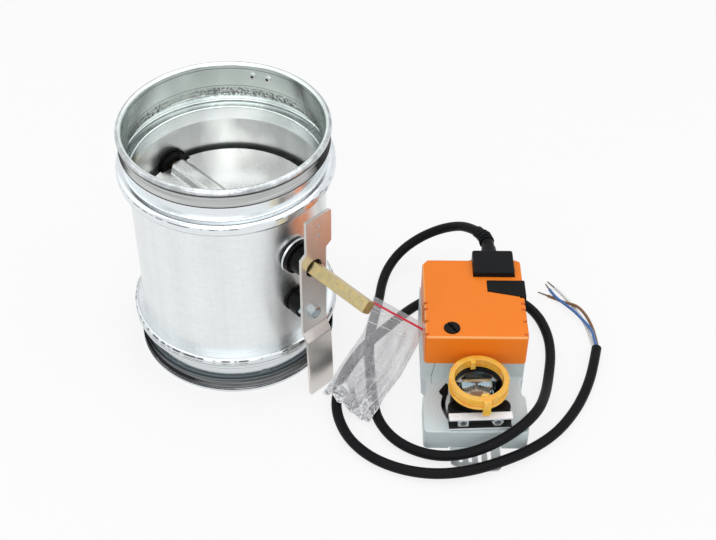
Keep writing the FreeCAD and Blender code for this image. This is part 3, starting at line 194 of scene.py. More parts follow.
strand_length = 8.2 * mm
strand_radius = 0.19 * mm
bundle_radius = 0.40 * mm
draw = random.Random(4)
verts, faces = [], []
for wire in (blue_wire, brown_wire, white_wire):
    line = line_of(wire)
    end, along = line[-1], (line[-1] - line[-3]).normalized()
    side = along.cross(Vector((0, 0, 1))).normalized()
    over = side.cross(along)
    for strand in range(7):
        path = []
        length = strand_length * draw.uniform(0.86, 1.0)
        for step in range(9):
            share = step / 8
            turn = 2 * math.pi * (strand / 6 + 0.55 * share)
            away = 0 if strand == 6 else bundle_radius * (1 - 0.35 * share)
            path.append(end + along * (length * share - 0.4 * mm)
                        + (side * math.cos(turn) + over * math.sin(turn)) * away)
        strand_tube(path, strand_radius, 8, verts, faces)
strands = mesh_object("copper_strands", verts, faces)
strands.data.shade_smooth()
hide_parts("bare_cores")
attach(strands, "root")
print("strand vertices:", len(verts))

# %% [markdown]
# ## Cords that stay cords
# The cable and its wires are limp in life, and whoever lays them anew needs to know how long they are.

# %% [markdown]
# ## Shader maths in plain expressions
# A finish is a small net of nodes. Wiring each Math node by hand hides what is worked out, so a socket is
# wrapped in a class whose operators add the nodes: `0.4 + 0.1 * grain` reads like the sum that it is.

# %% Socket class
class Amount:
    """One number socket of a net of nodes. Sums with it add Math nodes."""

    def __init__(self, net, socket):
        self.net = net
        self.socket = socket

    def maths(self, operation, *others):
        return self.net.node("ShaderNodeMath", {"operation": operation}, dict(enumerate((self, *others))))

    def __add__(self, other):
        return self.maths("ADD", other)

    def __sub__(self, other):
        return self.maths("SUBTRACT", other)

    def __rsub__(self, other):
        return self.net.node("ShaderNodeMath", {"operation": "SUBTRACT"}, {0: other, 1: self})

    def __mul__(self, other):
        return self.maths("MULTIPLY", other)

    def __pow__(self, other):
        return self.maths("POWER", other)

    __radd__ = __add__
    __rmul__ = __mul__


print("class:", Amount.__name__)

# %% [markdown]
# ## One class for every finish
# Each finish starts from the Principled shader. What is the same everywhere is set on the shader itself,
# and only what changes over the surface is linked. All textures use object coordinates in metres, so a
# grain of 0.5 mm is 0.5 mm on every piece, with no unwrapping.

# %% Net class
class Net:
    """A net of nodes in a material or the world, with the coordinates that its textures use."""

    def __init__(self, tree, coordinates="Object"):
        self.tree = tree
        self.place = self.node("ShaderNodeTexCoord", out=coordinates)

    def node(self, kind, settings=None, sockets=None, out=0):
        """Adds a node: its settings first, then the values or links of its sockets."""
        made = self.tree.nodes.new(kind)
        for key, value in (settings or {}).items():
            setattr(made, key, value)
        for key, value in (sockets or {}).items():
            self.feed(made.inputs[key], value)
        return Amount(self, made.outputs[out])

    def feed(self, socket, value):
        if isinstance(value, Amount):
            self.tree.links.new(value.socket, socket)
        else:
            socket.default_value = value

    def stretched(self, stretch, turn=0.0):
        """The coordinates, squeezed along each axis, after a turn about Z in degrees."""
        turned = self.node("ShaderNodeMapping", {}, {0: self.place, 2: (0, 0, math.radians(turn))})
        return self.node("ShaderNodeVectorMath", {"operation": "MULTIPLY"}, {0: turned, 1: stretch})

    def cloud(self, size, detail=3.0, sharp=0.55, stretch=(1, 1, 1), turn=0.0):
        """Soft noise from 0 to 1 whose blobs are about size metres across."""
        where = self.stretched(stretch, turn)
        sockets = {"Vector": where, "Scale": 1 / size, "Detail": detail, "Roughness": sharp}
        return self.node("ShaderNodeTexNoise", {}, sockets)

    def crystals(self, size):
        """Crystals about size metres across, each with one tone from 0 to 1."""
        sockets = {"Vector": self.stretched((1, 1, 1)), "Scale": 1 / size}
        colors = self.node("ShaderNodeTexVoronoi", {}, sockets, "Color")
        return self.node("ShaderNodeSeparateColor", {}, {0: colors})

    def rays(self, kind):
        """1 for light paths of one kind, 0 for others."""
        return self.node("ShaderNodeLightPath", out=f"Is {kind} Ray")

    def parts(self, vector=None):
        """The x, y and z of a vector, or else of the coordinates."""
        vector = vector or self.place
        return [self.node("ShaderNodeSeparateXYZ", {}, {0: vector}, out) for out in (0, 1, 2)]

    def turned_from(self, center, degrees):
        """Sideways and lengthways distance from an upright axis, along turned directions."""
        x, y, _ = self.parts()
        cos, sin = math.cos(math.radians(degrees)), math.sin(math.radians(degrees))
        x, y = x - center[0], y - center[1]
        return x * cos + y * sin, y * cos - x * sin

    def front(self, degrees):
        """Cosine of the angle round the Z axis between a point and a direction."""
        return self.turned_from((0, 0), degrees)[0].maths("DIVIDE", self.reach())

    def facing_in(self):
        """1 on surfaces that face the Z axis, 0 on those that face away from it."""
        sides = self.parts(self.node("ShaderNodeNewGeometry", out="Normal"))
        x, y, _ = self.parts()
        return self.between(x * sides[0] + y * sides[1], -0.004, 0.004, 1.0, 0.0)

    def reach(self, center=(0, 0)):
        """Distance from an upright axis."""
        x, y, _ = self.parts()
        return ((x - center[0]) ** 2 + (y - center[1]) ** 2) ** 0.5

    def between(self, amount, low, high, start=0.0, end=1.0):
        """Amount's part from low to high, as start to end."""
        sockets = {0: amount, 1: low, 2: high, 3: start, 4: end}
        return self.node("ShaderNodeMapRange", {"clamp": True}, sockets)

    def band(self, amount, middle, half):
        """1 where the amount is at the middle, fading to 0 at half on each side."""
        return self.between((amount - middle).maths("ABSOLUTE"), half * 0.4, half, 1.0, 0.0)

    def bands(self, amount, rows):
        """The sum of several bands, each row a middle and a half."""
        total = 0
        for middle, half in rows:
            total = self.band(amount, middle, half) + total
        return total


print("net helpers:", [name for name in vars(Net) if not name.startswith("_")])

# %% [markdown]
# ## A finish is a net with one shader
# Every material here is one Principled shader with its own net. Its helpers make a colour lighter or
# darker, mix two colours and raise a bump. Colours go through Mix and Vector Math nodes, because a Math
# node would turn them grey.

# %% Finish class
class Finish(Net):
    """A material built on one Principled shader."""

    def __init__(self, name, color, rough, metal=0.0, **fixed):
        self.material = bpy.data.materials.new(name)
        self.material.use_nodes = True
        super().__init__(self.material.node_tree)
        self.shader = self.tree.nodes["Principled BSDF"]
        self.base = color
        self.put("Base Color", (*color, 1))
        self.put("Roughness", rough)
        self.put("Metallic", metal)
        for socket, value in fixed.items():
            self.put(socket.replace("_", " "), value)

    def put(self, socket, value):
        self.feed(self.shader.inputs[socket], value)

    def shaded(self, shade, color=None):
        """The colour made lighter or darker by an amount near 1."""
        color = color or self.base
        return self.node("ShaderNodeVectorMath", {"operation": "SCALE"}, {0: color, 3: shade})

    def mixed(self, share, one, other):
        """One colour at share 0, the other at share 1."""
        one, other = (c if isinstance(c, Amount) else (*c, 1) for c in (one, other))
        return self.node("ShaderNodeMix", {"data_type": "RGBA"}, {0: share, 6: one, 7: other}, 2)

    def raised(self, height, depth, strength=1.0, under=None):
        """A bump of that height, depth in metres."""
        sockets = {"Height": height, "Distance": depth, "Strength": strength}
        if under:
            sockets["Normal"] = under
        return self.node("ShaderNodeBump", {}, sockets)


print("finish helpers:", [name for name in vars(Finish) if not name.startswith("_")])

# %% [markdown]
# ## Zinc-coated sheet
# Rolled zinc sheet is a smooth satin mirror with a faint bloom and fine roll marks that run one way. Its
# crystals are small here, so they only change the tone a little. A picture of real sheet would repeat and
# needs unwrapping, so noise and cells do it. Thin sheet is never quite flat, and a broad low bump bends
# what it mirrors.

# %% Zinc sheet
crystal_size = 0.0022


def zinc_sheet(name, color, rough, roll=(0.05, 0.05, 1), contrast=0.04, wave=0.2):
    """Galvanized sheet with roll marks that run the way of roll. Gives the finish and its shade."""
    f = Finish(name, color, rough, metal=1.0)
    tones = f.crystals(crystal_size)
    bloom = f.cloud(0.030, 4.0)
    marks = f.cloud(0.0011, 4.0, 0.65, roll)
    shade = 1 + (tones - 0.5) * contrast + (bloom - 0.5) * 0.10 + (marks - 0.5) * 0.12
    f.put("Base Color", f.shaded(shade))
    f.put("Roughness", rough + (tones - 0.5) * contrast + (bloom - 0.5) * 0.14 + (marks - 0.5) * 0.08)
    waves = f.raised(f.cloud(0.042, 1.5, 0.4, (1, 1, 0.3)), 0.0014, wave)
    f.put("Normal", f.raised(marks, 0.000004, 0.5, waves))
    return f, shade


print("crystals:", crystal_size, "m")

# %% [markdown]
# ## Dark lines and painted shade on the spigots
# Where two sheets lap, dirt and shade draw a thin dark line. Such lines are found by height, because
# every lap of the duct runs level round it. As a mesh they would be too thin to be worth it. The rim gets
# painted shade in streaks, and from the lower bead down the sheet is painted darker, with dashed painted
# shade on the bead's shoulder and a line at its lower edge.

# %% Lines outside
lap_lines = ((0.1405, 0.0003), (0.1386, 0.0004), (0.0281, 0.0004))
broken_laps = ((0.1449, 0.00045), (0.0314, 0.00060), (0.0296, 0.00040))


def lines_and_shade_outside(f, height):
    """How much darker the spigots are: dirt and shade along their laps, painted shade on the rim and from
    the lower bead down.
    """
    broken = f.between(f.cloud(0.0060, 1.0, 0.5, (1, 1, 0.001)), 0.47, 0.55)
    lines = f.bands(height, broken_laps) * broken * 0.8 + f.bands(height, lap_lines) * 0.5
    # painted shade: the rim is darker, in streaks, with a thin dark line below it
    rim = f.between(height, 0.1680, 0.1688)
    rim_shade_streaks = f.between(f.cloud(0.0090, 3.0, 0.6, (1, 1, 0.2)), 0.35, 0.62)
    lines = lines + rim * (0.16 + rim_shade_streaks * 0.30) + f.band(height, 0.1690, 0.0004) * 0.25
    # painted shade: darker from the lower bead down, with dashes on its shoulder and a line at its lower
    # edge
    foot = f.between(height, 0.0420, 0.0400)
    bead_shade_dashes = f.between(f.cloud(0.0070, 2.0, 0.6, (1, 1, 0.02)), 0.40, 0.60)
    lines = lines + foot * (0.12 + f.band(height, 0.0348, 0.0012) * (0.16 + bead_shade_dashes * 0.30))
    return lines + foot * f.band(height, 0.0328, 0.0005) * 0.22


print("lap lines:", len(lap_lines) + len(broken_laps))

# %% [markdown]
# ## Marks inside the upper spigot
# A speckled band inside is darker, a few thin rings run above it, and the lap seam goes up nearly
# straight, drawn as a dark line of painted shade beside a pale line of painted highlight. Fine noise under
# a coarse one gives specks that come in patches.

# %% Specks, rings and seam inside
dark_rings = ((0.1550, 0.0005, 0.45), (0.1492, 0.0004, 0.30), (0.1682, 0.0006, 0.40))
seam_azimuth, seam_middle, seam_slant = 86.0, 0.158, 0.31


def marks_inside(f, height, inside, spigot):
    """How much darker the upper spigot is inside, with painted shade and a painted highlight along the
    seam.
    """
    speckle = f.between(f.cloud(0.0016, 3.0, 0.75), 0.45, 0.55)
    patches = f.between(f.cloud(0.030, 2.0, 0.5), 0.32, 0.48)
    deep = f.between(height, 0.1420, 0.1435) * f.between(height, 0.1545, 0.1525)
    dark = inside * deep * (0.14 + speckle * patches * 0.60)
    for middle, half, depth in dark_rings:
        dark = dark + inside * f.band(height, middle, half) * depth
    outwards, along = f.turned_from((0, 0), seam_azimuth)
    seam = along - (height - seam_middle) * seam_slant
    # painted shade and painted highlight: a dark line along the lap seam with a pale one beside it
    seam_shade_and_highlight = inside * spigot * f.between(outwards, 0.0, 0.001) * f.between(height, 0.1675, 0.1665)
    return dark + seam_shade_and_highlight * (f.band(seam, 0.0, 0.0005) * 0.55 - f.band(seam, 0.0012, 0.0005) * 0.25)


print("dark rings:", len(dark_rings), "seam at", seam_azimuth, "degrees")

# %% [markdown]
# ## Spigot sheet
# One finish does both sides of the sheet: the side that a face turns to the duct's axis picks the marks,
# and inside, the zinc is painted a little greener as a painted reflection of the sheet mirroring itself.

# %% Spigot sheet
def collar_zinc():
    """The spigots' sheet: lines and painted shade outside, and a speckled darker band, painted seam light
    and a greener painted reflection inside.
    """
    color = (0.80, 0.84, 0.86)
    f, shade = zinc_sheet("collar_sheet", color, 0.24, contrast=0.02, wave=0.42)
    height = f.parts()[2]
    inside = f.facing_in()
    spigot = f.between(height, 0.1376, 0.1380)
    lines, dark = lines_and_shade_outside(f, height), marks_inside(f, height, inside, spigot)
    # painted reflection: inside the spigot the sheet is tinted greener
    tint = f.mixed(inside * spigot, color, (0.80, 0.86, 0.84))
    f.put("Base Color", f.shaded(shade * (1 - lines * (1 - inside) - dark), tint))
    return f.material


finishes = {"collar_sheet": collar_zinc()}
print("spigot nodes:", len(finishes["collar_sheet"].node_tree.nodes))

# %% [markdown]
# ## Duct wall, blade and mounting plate
# The wall is plain outside. Inside, the sheet mirrors itself many times over, which shows as soft clouds
# of light, and a large noise stands in for them as painted reflections. The inside is also painted darker
# overall, as shade. Blade and plate have marks that run another way.

# %% Wall, blade and plate finishes
def wall_zinc():
    """The duct's sheet: plain outside; inside, painted shade with painted glints in soft clouds."""
    f, shade = zinc_sheet("galvanized_sheet", (0.83, 0.855, 0.86), 0.34, wave=0.34)
    glints = f.between(f.cloud(0.026, 1.5, 0.4, (1, 1, 0.7)), 0.40, 0.60)
    upright = f.cloud(0.0085, 3.0, 0.6, (1, 1, 0.03)) - 0.5
    # painted shade and painted reflections: the inside is darker overall, and lighter in soft glints
    inside_shade_and_glints = f.facing_in() * (0.36 - glints * 0.40)
    f.put("Base Color", f.shaded(shade * (1 + upright * 0.16 - inside_shade_and_glints)))
    return f.material


finishes["galvanized_sheet"] = wall_zinc()
for name, *looks in (("blade_sheet", (0.86, 0.855, 0.825), 0.26, (0.06, 1, 1), 0.0, 0.95),
                     ("bracket_sheet", (0.70, 0.67, 0.64), 0.36, (1, 1, 0.05), 0.03, 0.30)):
    finishes[name] = zinc_sheet(name, *looks)[0].material
print("zinc finishes:", sorted(finishes))

# %% [markdown]
# ## Turned, drawn and plated metal
# Bolts, nuts, rings and gears carry fine tool marks in one direction. Noise that is squeezed along one
# axis draws them, both as bump and as a small change of gloss. Yellow passivation is the same with a
# second colour that clouds over the first, as the coating's thickness drifts.

# %% Plated metal finishes
def plated_metal(name, color, rough, marks, second=None, bump=0.5, mottle=0.10, size=0.009, metal=1.0):
    """Plated steel with tool marks stretched by marks, and a coating that clouds over."""
    f = Finish(name, color, rough, metal=metal)
    lines = f.cloud(0.0009, 4.0, 0.7, marks)
    drift = f.cloud(size, 4.0, 0.6)
    grime = f.between(f.cloud(0.0032, 5.0, 0.7), 0.56, 0.76)
    shade = 1 + (lines - 0.5) * 0.20 - grime * mottle
    tint = f.mixed(f.between(drift, 0.40, 0.62), color, second or [c * 0.90 for c in color])
    f.put("Base Color", f.shaded(shade, tint))
    f.put("Roughness", rough + (lines - 0.5) * 0.14 + grime * 0.16)
    f.put("Normal", f.raised(lines, 0.00003, bump))
    return f.material


gold = (0.55, 0.44, 0.205)
metals = [
    ("rivet_steel", (0.86, 0.87, 0.86), 0.20, (0.5, 0.5, 1), {}),
    ("snap_ring_steel", (0.80, 0.81, 0.82), 0.16, (1, 0.3, 0.3), {}),
    ("gold_passivated", gold, 0.34, (0.07, 1, 1),
     {"second": (0.46, 0.39, 0.23), "bump": 0.8, "mottle": 0.38, "size": 0.0035}),
    ("zinc_hardware", (0.50, 0.57, 0.61), 0.22, (1, 1, 0.3), {}),
    ("gear_steel", (0.58, 0.58, 0.57), 0.32, (0.4, 0.4, 1), {}),
    ("motor_can", (0.55, 0.56, 0.57), 0.28, (1, 1, 0.1), {}),
    ("bare_copper", (0.20, 0.13, 0.08), 0.42, (1, 1, 1), {"mottle": 0.5}),
    # painted light: nuts and strap are paler, less metallic copies of the hardware zinc, as they sit in
    # shade
    ("nut_zinc", (0.90, 0.92, 0.93), 0.26, (1, 1, 1), {"metal": 0.45}),
    ("strap_zinc", (0.88, 0.90, 0.91), 0.36, (1, 1, 0.3), {"metal": 0.35}),
]
for name, color, rough, marks, more in metals:
    finishes[name] = plated_metal(name, color, rough, marks, **more)
print("metal finishes:", len(finishes))

# %% [markdown]
# ## Channel with its dark mouth
# The clamp's channel is bright on top, but its mouth is a deep shadow round the nuts. The bright top is
# painted reflection: a near-white colour with hardly any metal stands in for the white room that the zinc
# mirrors. A real recess this narrow takes in hardly any light, and a shiny metal would show the bright room
# in it. So the sheet turns black inside the mouth as painted shadow, found by its height and its distance
# in front of the hub's axis.

# %% Channel finish
hub_center = (0.17385, 0.05123)
hub_turn = 48.54
mouth_low, mouth_high, mouth_front, mouth_edge = 0.0180, 0.0258, -0.0158, 0.0004


def channel_zinc():
    """Zinc painted near white as a reflection, which turns black as painted shadow inside the channel's
    mouth.
    """
    # painted reflection: a near-white colour with almost no metal
    f = Finish("clamp_chrome", (0.95, 0.97, 1.00), 0.30, metal=0.02)
    lengthways = f.turned_from(hub_center, hub_turn)[1]
    height = f.parts()[2]
    mouth = f.between(height, mouth_low, mouth_low + mouth_edge)
    mouth = mouth * f.between(height, mouth_high, mouth_high - mouth_edge)
    mouth = mouth * f.between(lengthways, mouth_front, mouth_front - mouth_edge)
    bright = 1 + (f.cloud(0.0009, 3.0, 0.6, (0.3, 0.3, 1)) - 0.5) * 0.16
    # painted shadow: black inside the mouth
    f.put("Base Color", f.shaded(bright * (1 - mouth * 0.985)))
    f.put("Roughness", 0.22 + f.cloud(0.004) * 0.10 + mouth * 0.4)
    f.put("Normal", f.raised(f.cloud(0.0007), 0.00002, 0.4))
    return f.material


finishes["clamp_chrome"] = channel_zinc()
print("channel finish:", finishes["clamp_chrome"].name)

# %% [markdown]
# ## Moulded plastic
# Spark-eroded moulds leave an even grain on the plastic. It shows as a broken sheen rather than as dots,
# so it is a very low bump with a matching change of gloss. A slow drift of the colour keeps large faces
# from looking painted, and light scuffs sit where the piece is handled.

# %% Moulded plastic
grain, grain_depth = 0.0004, 0.00002


def moulded(name, color, rough, drift=0.06, scuffs=0.05, **fixed):
    """Moulded plastic with an eroded grain. Gives the finish and its shade."""
    f = Finish(name, color, rough, **fixed)
    pits = f.cloud(grain, 2.0, 0.6)
    slow = f.cloud(0.028, 3.0, 0.5)
    rubbed = f.between(f.cloud(0.0042, 6.0, 0.72, (1, 0.35, 1), 35), 0.60, 0.80)
    shade = 1 + (slow - 0.5) * drift + (pits - 0.5) * 0.06 + rubbed * scuffs
    f.put("Base Color", f.shaded(shade))
    f.put("Roughness", rough + (pits - 0.5) * 0.16 + (slow - 0.5) * 0.10 - rubbed * 0.08)
    f.put("Normal", f.raised(pits, grain_depth, 0.7))
    return f, shade


print("grain:", grain, "m")

# %% [markdown]
# ## Housing and cover of the actuator
# The housing's deck carries faint rings round the hub, and its rear wall one thin seam. The cover has
# painted highlights along its front and left top edges, and painted shade in the grip grooves. All of
# them are found in the actuator's own directions, because it stands turned beside the duct.

# %% Housing and cover finishes
actuator_corner = (0.1661, 0.0112)
actuator_turn = 45.54
deck_height = 0.0159
deck_rings = ((0.0252, 0.00025), (0.0272, 0.00020), (0.0300, 0.0002))
grooves = [(place, 0.0014) for place in (0.0478, 0.0593, 0.0701, 0.0755)]


def housing_grey():
    """Grey plastic with faint rings on the deck round the hub, and a thin seam on the rear wall."""
    f, shade = moulded("housing_grey", (0.635, 0.715, 0.730), 0.42, drift=0.07)
    across, along = f.turned_from(actuator_corner, actuator_turn)
    height = f.parts()[2]
    from_hub = f.reach(hub_center)
    rings = f.bands(from_hub, deck_rings) * f.band(height, deck_height, 0.0008)
    seam = f.band(across - (height - 0.016) * 0.164, 0.0060, 0.00035) * f.between(height, 0.0150, 0.0165)
    seam = seam * f.between(along, 0.0400, 0.0404) * f.between(along, 0.0480, 0.0476)
    f.put("Base Color", f.shaded(shade * (1 - rings * 0.13 - seam * 0.75)))
    return f.material


def cover_orange():
    """Orange plastic with painted highlights along its top edges and painted shade in the grip grooves."""
    color = (0.930, 0.225, 0.012)
    f, shade = moulded("cover_orange", color, 0.40, drift=0.05, Specular_IOR_Level=0.28)
    across, along = f.turned_from(actuator_corner, actuator_turn)
    height = f.parts()[2]
    # painted highlight: paler orange along the front and left top edges
    front_edge_highlight = f.band(along, 0.0455, 0.0007) * f.between(height, 0.0526, 0.0532)
    left_edge_highlight = f.band(across, 0.0012, 0.0006) * f.between(height, 0.0522, 0.0530)
    sides = f.between(across, 0.0034, 0.0030) + f.between(across, 0.0632, 0.0636)
    tint = f.mixed(front_edge_highlight + left_edge_highlight, color, (1.0, 0.46, 0.16))
    # painted shade: darker orange in the grip grooves near the sides
    groove_shade = f.bands(along, grooves) * sides * f.between(height, 0.046, 0.047)
    tint = f.mixed(groove_shade, tint, (0.62, 0.11, 0.006))
    f.put("Base Color", f.shaded(shade, tint))
    return f.material


finishes["cover_orange"] = cover_orange()
finishes["housing_grey"] = housing_grey()
print("grooves:", len(grooves), "deck rings:", len(deck_rings))

# %% [markdown]
# ## Small plastic pieces
# Plug, button, knob and bearings are black plastic with a dull skin, so their specular level is low. The
# gears are nylon, which lets a little light in, and the shaft insert is a warm beige, painted paler than
# its own tone as painted light bounced into the hub.

# %% Small plastic finishes
dull = {"Specular_IOR_Level": 0.09}
plastics = [
    ("trim_black", (0.0065, 0.0065, 0.0070), 0.36, {"scuffs": 0.5, **dull}),
    ("plug_black", (0.0075, 0.0080, 0.0090), 0.38, {"scuffs": 0.5, **dull}),
    ("bearing_plastic", (0.0060, 0.0060, 0.0065), 0.32, {"scuffs": 0.6, **dull}),
    ("gear_nylon", (0.80, 0.78, 0.70), 0.38,
     {"Subsurface_Weight": 0.15, "Subsurface_Radius": (0.002, 0.002, 0.0015)}),
    ("component_black", (0.02, 0.02, 0.022), 0.45, {}),
    # painted light: the insert's beige is paler than its own, for light bounced into the hub
    ("insert_beige", (0.92, 0.74, 0.58), 0.36, {"drift": 0.14}),
]
for name, color, rough, more in plastics:
    finishes[name] = moulded(name, color, rough, **more)[0].material
print("plastic finishes:", len(finishes))

# %% [markdown]
# ## Clear amber ring
# The ring is tinted clear plastic: light goes in, gets its colour on the way and comes out at the edges.
# Transmission with a little roughness does that, and a faint emission in the ring's own colour is a painted
# glow for the light that is caught inside.
# Plain alpha would make it look like thin foil.

# %% Amber finish
ridge_heights = [(place, 0.0003) for place in (0.0350, 0.0372, 0.0398)]
ridge_radii = [(radius, 0.0003) for radius in (0.0166, 0.0180)]


def clear_amber():
    """Tinted clear plastic with flow lines from the mould, and a faint painted glow in its own colour."""
    # painted light: Emission_Strength makes the ring glow faintly in its own colour
    f = Finish("ring_amber", (1.0, 0.62, 0.09), 0.12, Transmission_Weight=0.35, IOR=1.46,
               Subsurface_Weight=0.5, Subsurface_Radius=(0.008, 0.004, 0.0008),
               Emission_Strength=0.06)
    flow = f.cloud(0.006, 3.0, 0.5, (1, 1, 0.3))
    ridges = f.bands(f.parts()[2], ridge_heights) + f.bands(f.reach(hub_center), ridge_radii)
    tint = f.mixed(f.between(flow, 0.35, 0.65), (1.0, 0.70, 0.12), (1.0, 0.55, 0.06))
    ridged = f.mixed(ridges * 0.6, tint, (0.88, 0.34, 0.02))
    f.put("Base Color", ridged)
    f.put("Emission Color", ridged)
    f.put("Roughness", 0.10 + flow * 0.10 + ridges * 0.10)
    f.put("Normal", f.raised(f.cloud(0.0016, 2.0), 0.00003, 0.5))
    return f.material


finishes["ring_amber"] = clear_amber()
print("ridges:", len(ridge_heights) + len(ridge_radii))

# %% [markdown]
# ## Rubber
# The duct's rubber rings are black with fine lines from the extruder that run round the duct. The lines
# are made from height alone, because every point of one line has the same height. The cable's jacket and
# the blade's gasket are the same stuff without them.

# %% Rubber
def rubber(name, color, rough, lines=(1, 1, 1), bloom=0.5):
    """Rubber with extruder lines and a dusty bloom. Gives the finish and its lines."""
    f = Finish(name, color, rough, Specular_IOR_Level=0.10)
    runs = f.cloud(0.0010, 3.0, 0.6, lines)
    dust = f.between(f.cloud(0.012, 5.0, 0.65), 0.42, 0.70)
    f.put("Base Color", f.shaded(1 + (runs - 0.5) * 0.5 + dust * bloom))
    f.put("Roughness", rough + (runs - 0.5) * 0.16 + dust * 0.10)
    f.put("Normal", f.raised(runs, 0.00006, 0.7))
    return f, runs


finishes["gasket_rubber"] = rubber("gasket_rubber", (0.0240, 0.0300, 0.0270), 0.55, bloom=0.3)[0].material
finishes["cable_jacket"] = rubber("cable_jacket", (0.0050, 0.0050, 0.0060), 0.42, bloom=0.4)[0].material
print("finishes so far:", len(finishes))

# %% [markdown]
# ## Lip seals with painted sheen
# The upper ring is painted pale grey at its front as painted sheen, with ragged ends, and the lower one
# has painted sheen in streaks along its lips at its front. Both share one finish, told apart by height.

# %% Seal finish
lip_edges = [(place, 0.0004) for place in (0.0085, 0.0062, 0.0040)]


def seal_rubber():
    """The double-lip rings: painted sheen at the front of the upper one, and streaked painted sheen at the
    front of the lower one.
    """
    black = (0.0075, 0.0075, 0.0080)
    f, runs = rubber("seal_rubber", black, 0.34, (0.02, 0.02, 1), 1.0)
    height = f.parts()[2]
    ragged = (f.cloud(0.006, 4.0, 0.7) - 0.5) * 0.10
    # painted sheen: the front of the upper ring turns pale grey, with ragged ends
    upper = f.between(f.front(-45.0) + ragged, 0.44, 0.60) * f.between(height, 0.1594, 0.1600)
    upper = upper * f.between(height, 0.1674, 0.1668) * (1 - f.band(height, 0.1649, 0.0003) * 0.3)
    streaks = f.between(f.cloud(0.0021, 2.0, 0.5, (0.03, 0.03, 1)), 0.46, 0.58)
    # painted sheen: the front of the lower ring turns grey in streaks and along its lip edges
    lower = f.between(f.front(-48.0) + ragged, 0.30, 0.80) * f.between(height, 0.060, 0.050)
    tint = f.mixed(upper * (0.88 + (runs - 0.5) * 0.7), black, (0.61, 0.63, 0.62))
    sheen = 0.10 + streaks * 0.55 + f.bands(height, lip_edges) * (0.35 + streaks * 0.35)
    tint = f.mixed(lower * sheen, tint, (0.43, 0.44, 0.45))
    # painted reflection: at the front, the lower ring's top flank is bluish grey
    tint = f.mixed(lower * f.between(height, 0.0098, 0.0106), tint, (0.165, 0.200, 0.215))
    f.put("Base Color", f.shaded(1 + (runs - 0.5) * 0.4, tint))
    return f.material


finishes["seal_rubber"] = seal_rubber()
print("seal nodes:", len(finishes["seal_rubber"].node_tree.nodes))

# %% [markdown]
# ## Wavy edge of the lower ring
# The lower ring's top edge stands up in two low waves where it wasn't pressed home. Each is a small bent
# tongue over the spigot, drawn as a strip of columns whose height follows a cosine.

# %% Rubber tongues
inner, outer, lip = 0.06240, 0.06330, 0.06310


def rubber_tongue(name, degrees, half_width, low, high):
    """A low wave of rubber on the lower spigot, heights in metres."""
    verts, faces, columns = [], [], 16
    for i in range(columns + 1):
        share = 2 * i / columns - 1
        turn = math.radians(degrees) + share * half_width / 0.0628  # on the seal's middle radius
        top = low + (high - low) * (0.5 + 0.5 * math.cos(math.pi * share)) ** 0.6
        for radius, height in ((inner, low), (outer, low), (lip, top), (inner, top)):
            verts.append((radius * math.cos(turn), radius * math.sin(turn), height))
    for i in range(columns):
        for k in range(4):
            a, b = i * 4 + k, i * 4 + (k + 1) % 4
            faces.append((a, b, b + 4, a + 4))
    faces += [(3, 2, 1, 0), tuple(columns * 4 + k for k in range(4))]
    made = mesh_object(name, verts, faces)
    made.data.materials.append(finishes["seal_rubber"])
    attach(made, "root")
    return made


tongues = [rubber_tongue("seal_tongue_left", -77.5, 0.0042, 0.0118, 0.0148),
           rubber_tongue("seal_tongue_right", -23.8, 0.0050, 0.0118, 0.0146)]
print("tongues:", len(tongues))

# %% [markdown]
# ## Wire insulation
# Thin PVC over the wire is smooth and slightly glossy, with small kinks where it was stripped. A soft
# bump and a little change of tone are enough at two millimetres of thickness.

# %% Insulation finishes
def insulation(name, color):
    """Smooth coloured PVC."""
    f = Finish(name, color, 0.32, Coat_Weight=0.15, Coat_Roughness=0.2)
    kinks = f.cloud(0.0030, 3.0)
    f.put("Base Color", f.shaded(0.90 + kinks * 0.22))
    f.put("Roughness", 0.24 + kinks * 0.16)
    f.put("Normal", f.raised(kinks, 0.0001, 0.5))
    return f.material


for name, color in (("wire_blue", (0.045, 0.150, 0.400)), ("wire_brown", (0.210, 0.100, 0.035)),
                    ("wire_white", (0.780, 0.770, 0.740))):
    finishes[name] = insulation(name, color)
print("finishes so far:", len(finishes))

# %% [markdown]
# ## Circuit board
# Green lacquer lies over copper tracks. Squares from a brick-like Voronoi in the board's own directions
# stand in for the tracks: they only show when the cover is off, so a drawn layout isn't worth its size.

# %% Board finish
def lacquered_board():
    """Green lacquer over paler tracks."""
    green = (0.020, 0.120, 0.055)
    f = Finish("board_green", green, 0.28, Coat_Weight=0.4, Coat_Roughness=0.1)
    turned = f.stretched((1, 1, 0.01), -actuator_turn)
    tracks = f.node("ShaderNodeTexVoronoi", {"distance": "CHEBYCHEV"}, {"Vector": turned, "Scale": 260.0})
    copper = f.between(tracks, 0.42, 0.46)
    f.put("Base Color", f.mixed(copper, green, (0.050, 0.240, 0.110)))
    f.put("Roughness", 0.24 + copper * 0.12)
    f.put("Normal", f.raised(copper, 0.00004, 0.5))
    return f.material


finishes["board_green"] = lacquered_board()
print("finishes:", len(finishes))

# %% [markdown]
# ## Dressing the solids
# Each solid names its material slot in its record, and the finish of the same name goes there. Two pieces
# differ from the rest of their slot: the strap under the housing is painted paler, as painted light on a
# part that sits in shade, and so are the clamp's nuts in the dark mouth.

# %% Give each node its finish
own_finish = {"anti_rotation_strap": "strap_zinc", "clamp_nuts": "nut_zinc"}
for name, node in nodes.items():
    finish = finishes.get(own_finish.get(name, slot_of[name]))
    for slot in node.material_slots:
        slot.material = finish or slot.material
for cord, slot in ((cable, "cable_jacket"), (blue_wire, "wire_blue"), (brown_wire, "wire_brown"),
                   (white_wire, "wire_white"), (strands, "bare_copper")):
    cord.data.materials.append(finishes[slot])
print("dressed:", sorted({slot_of[n] for n in nodes if slot_of[n] not in finishes}), "left")

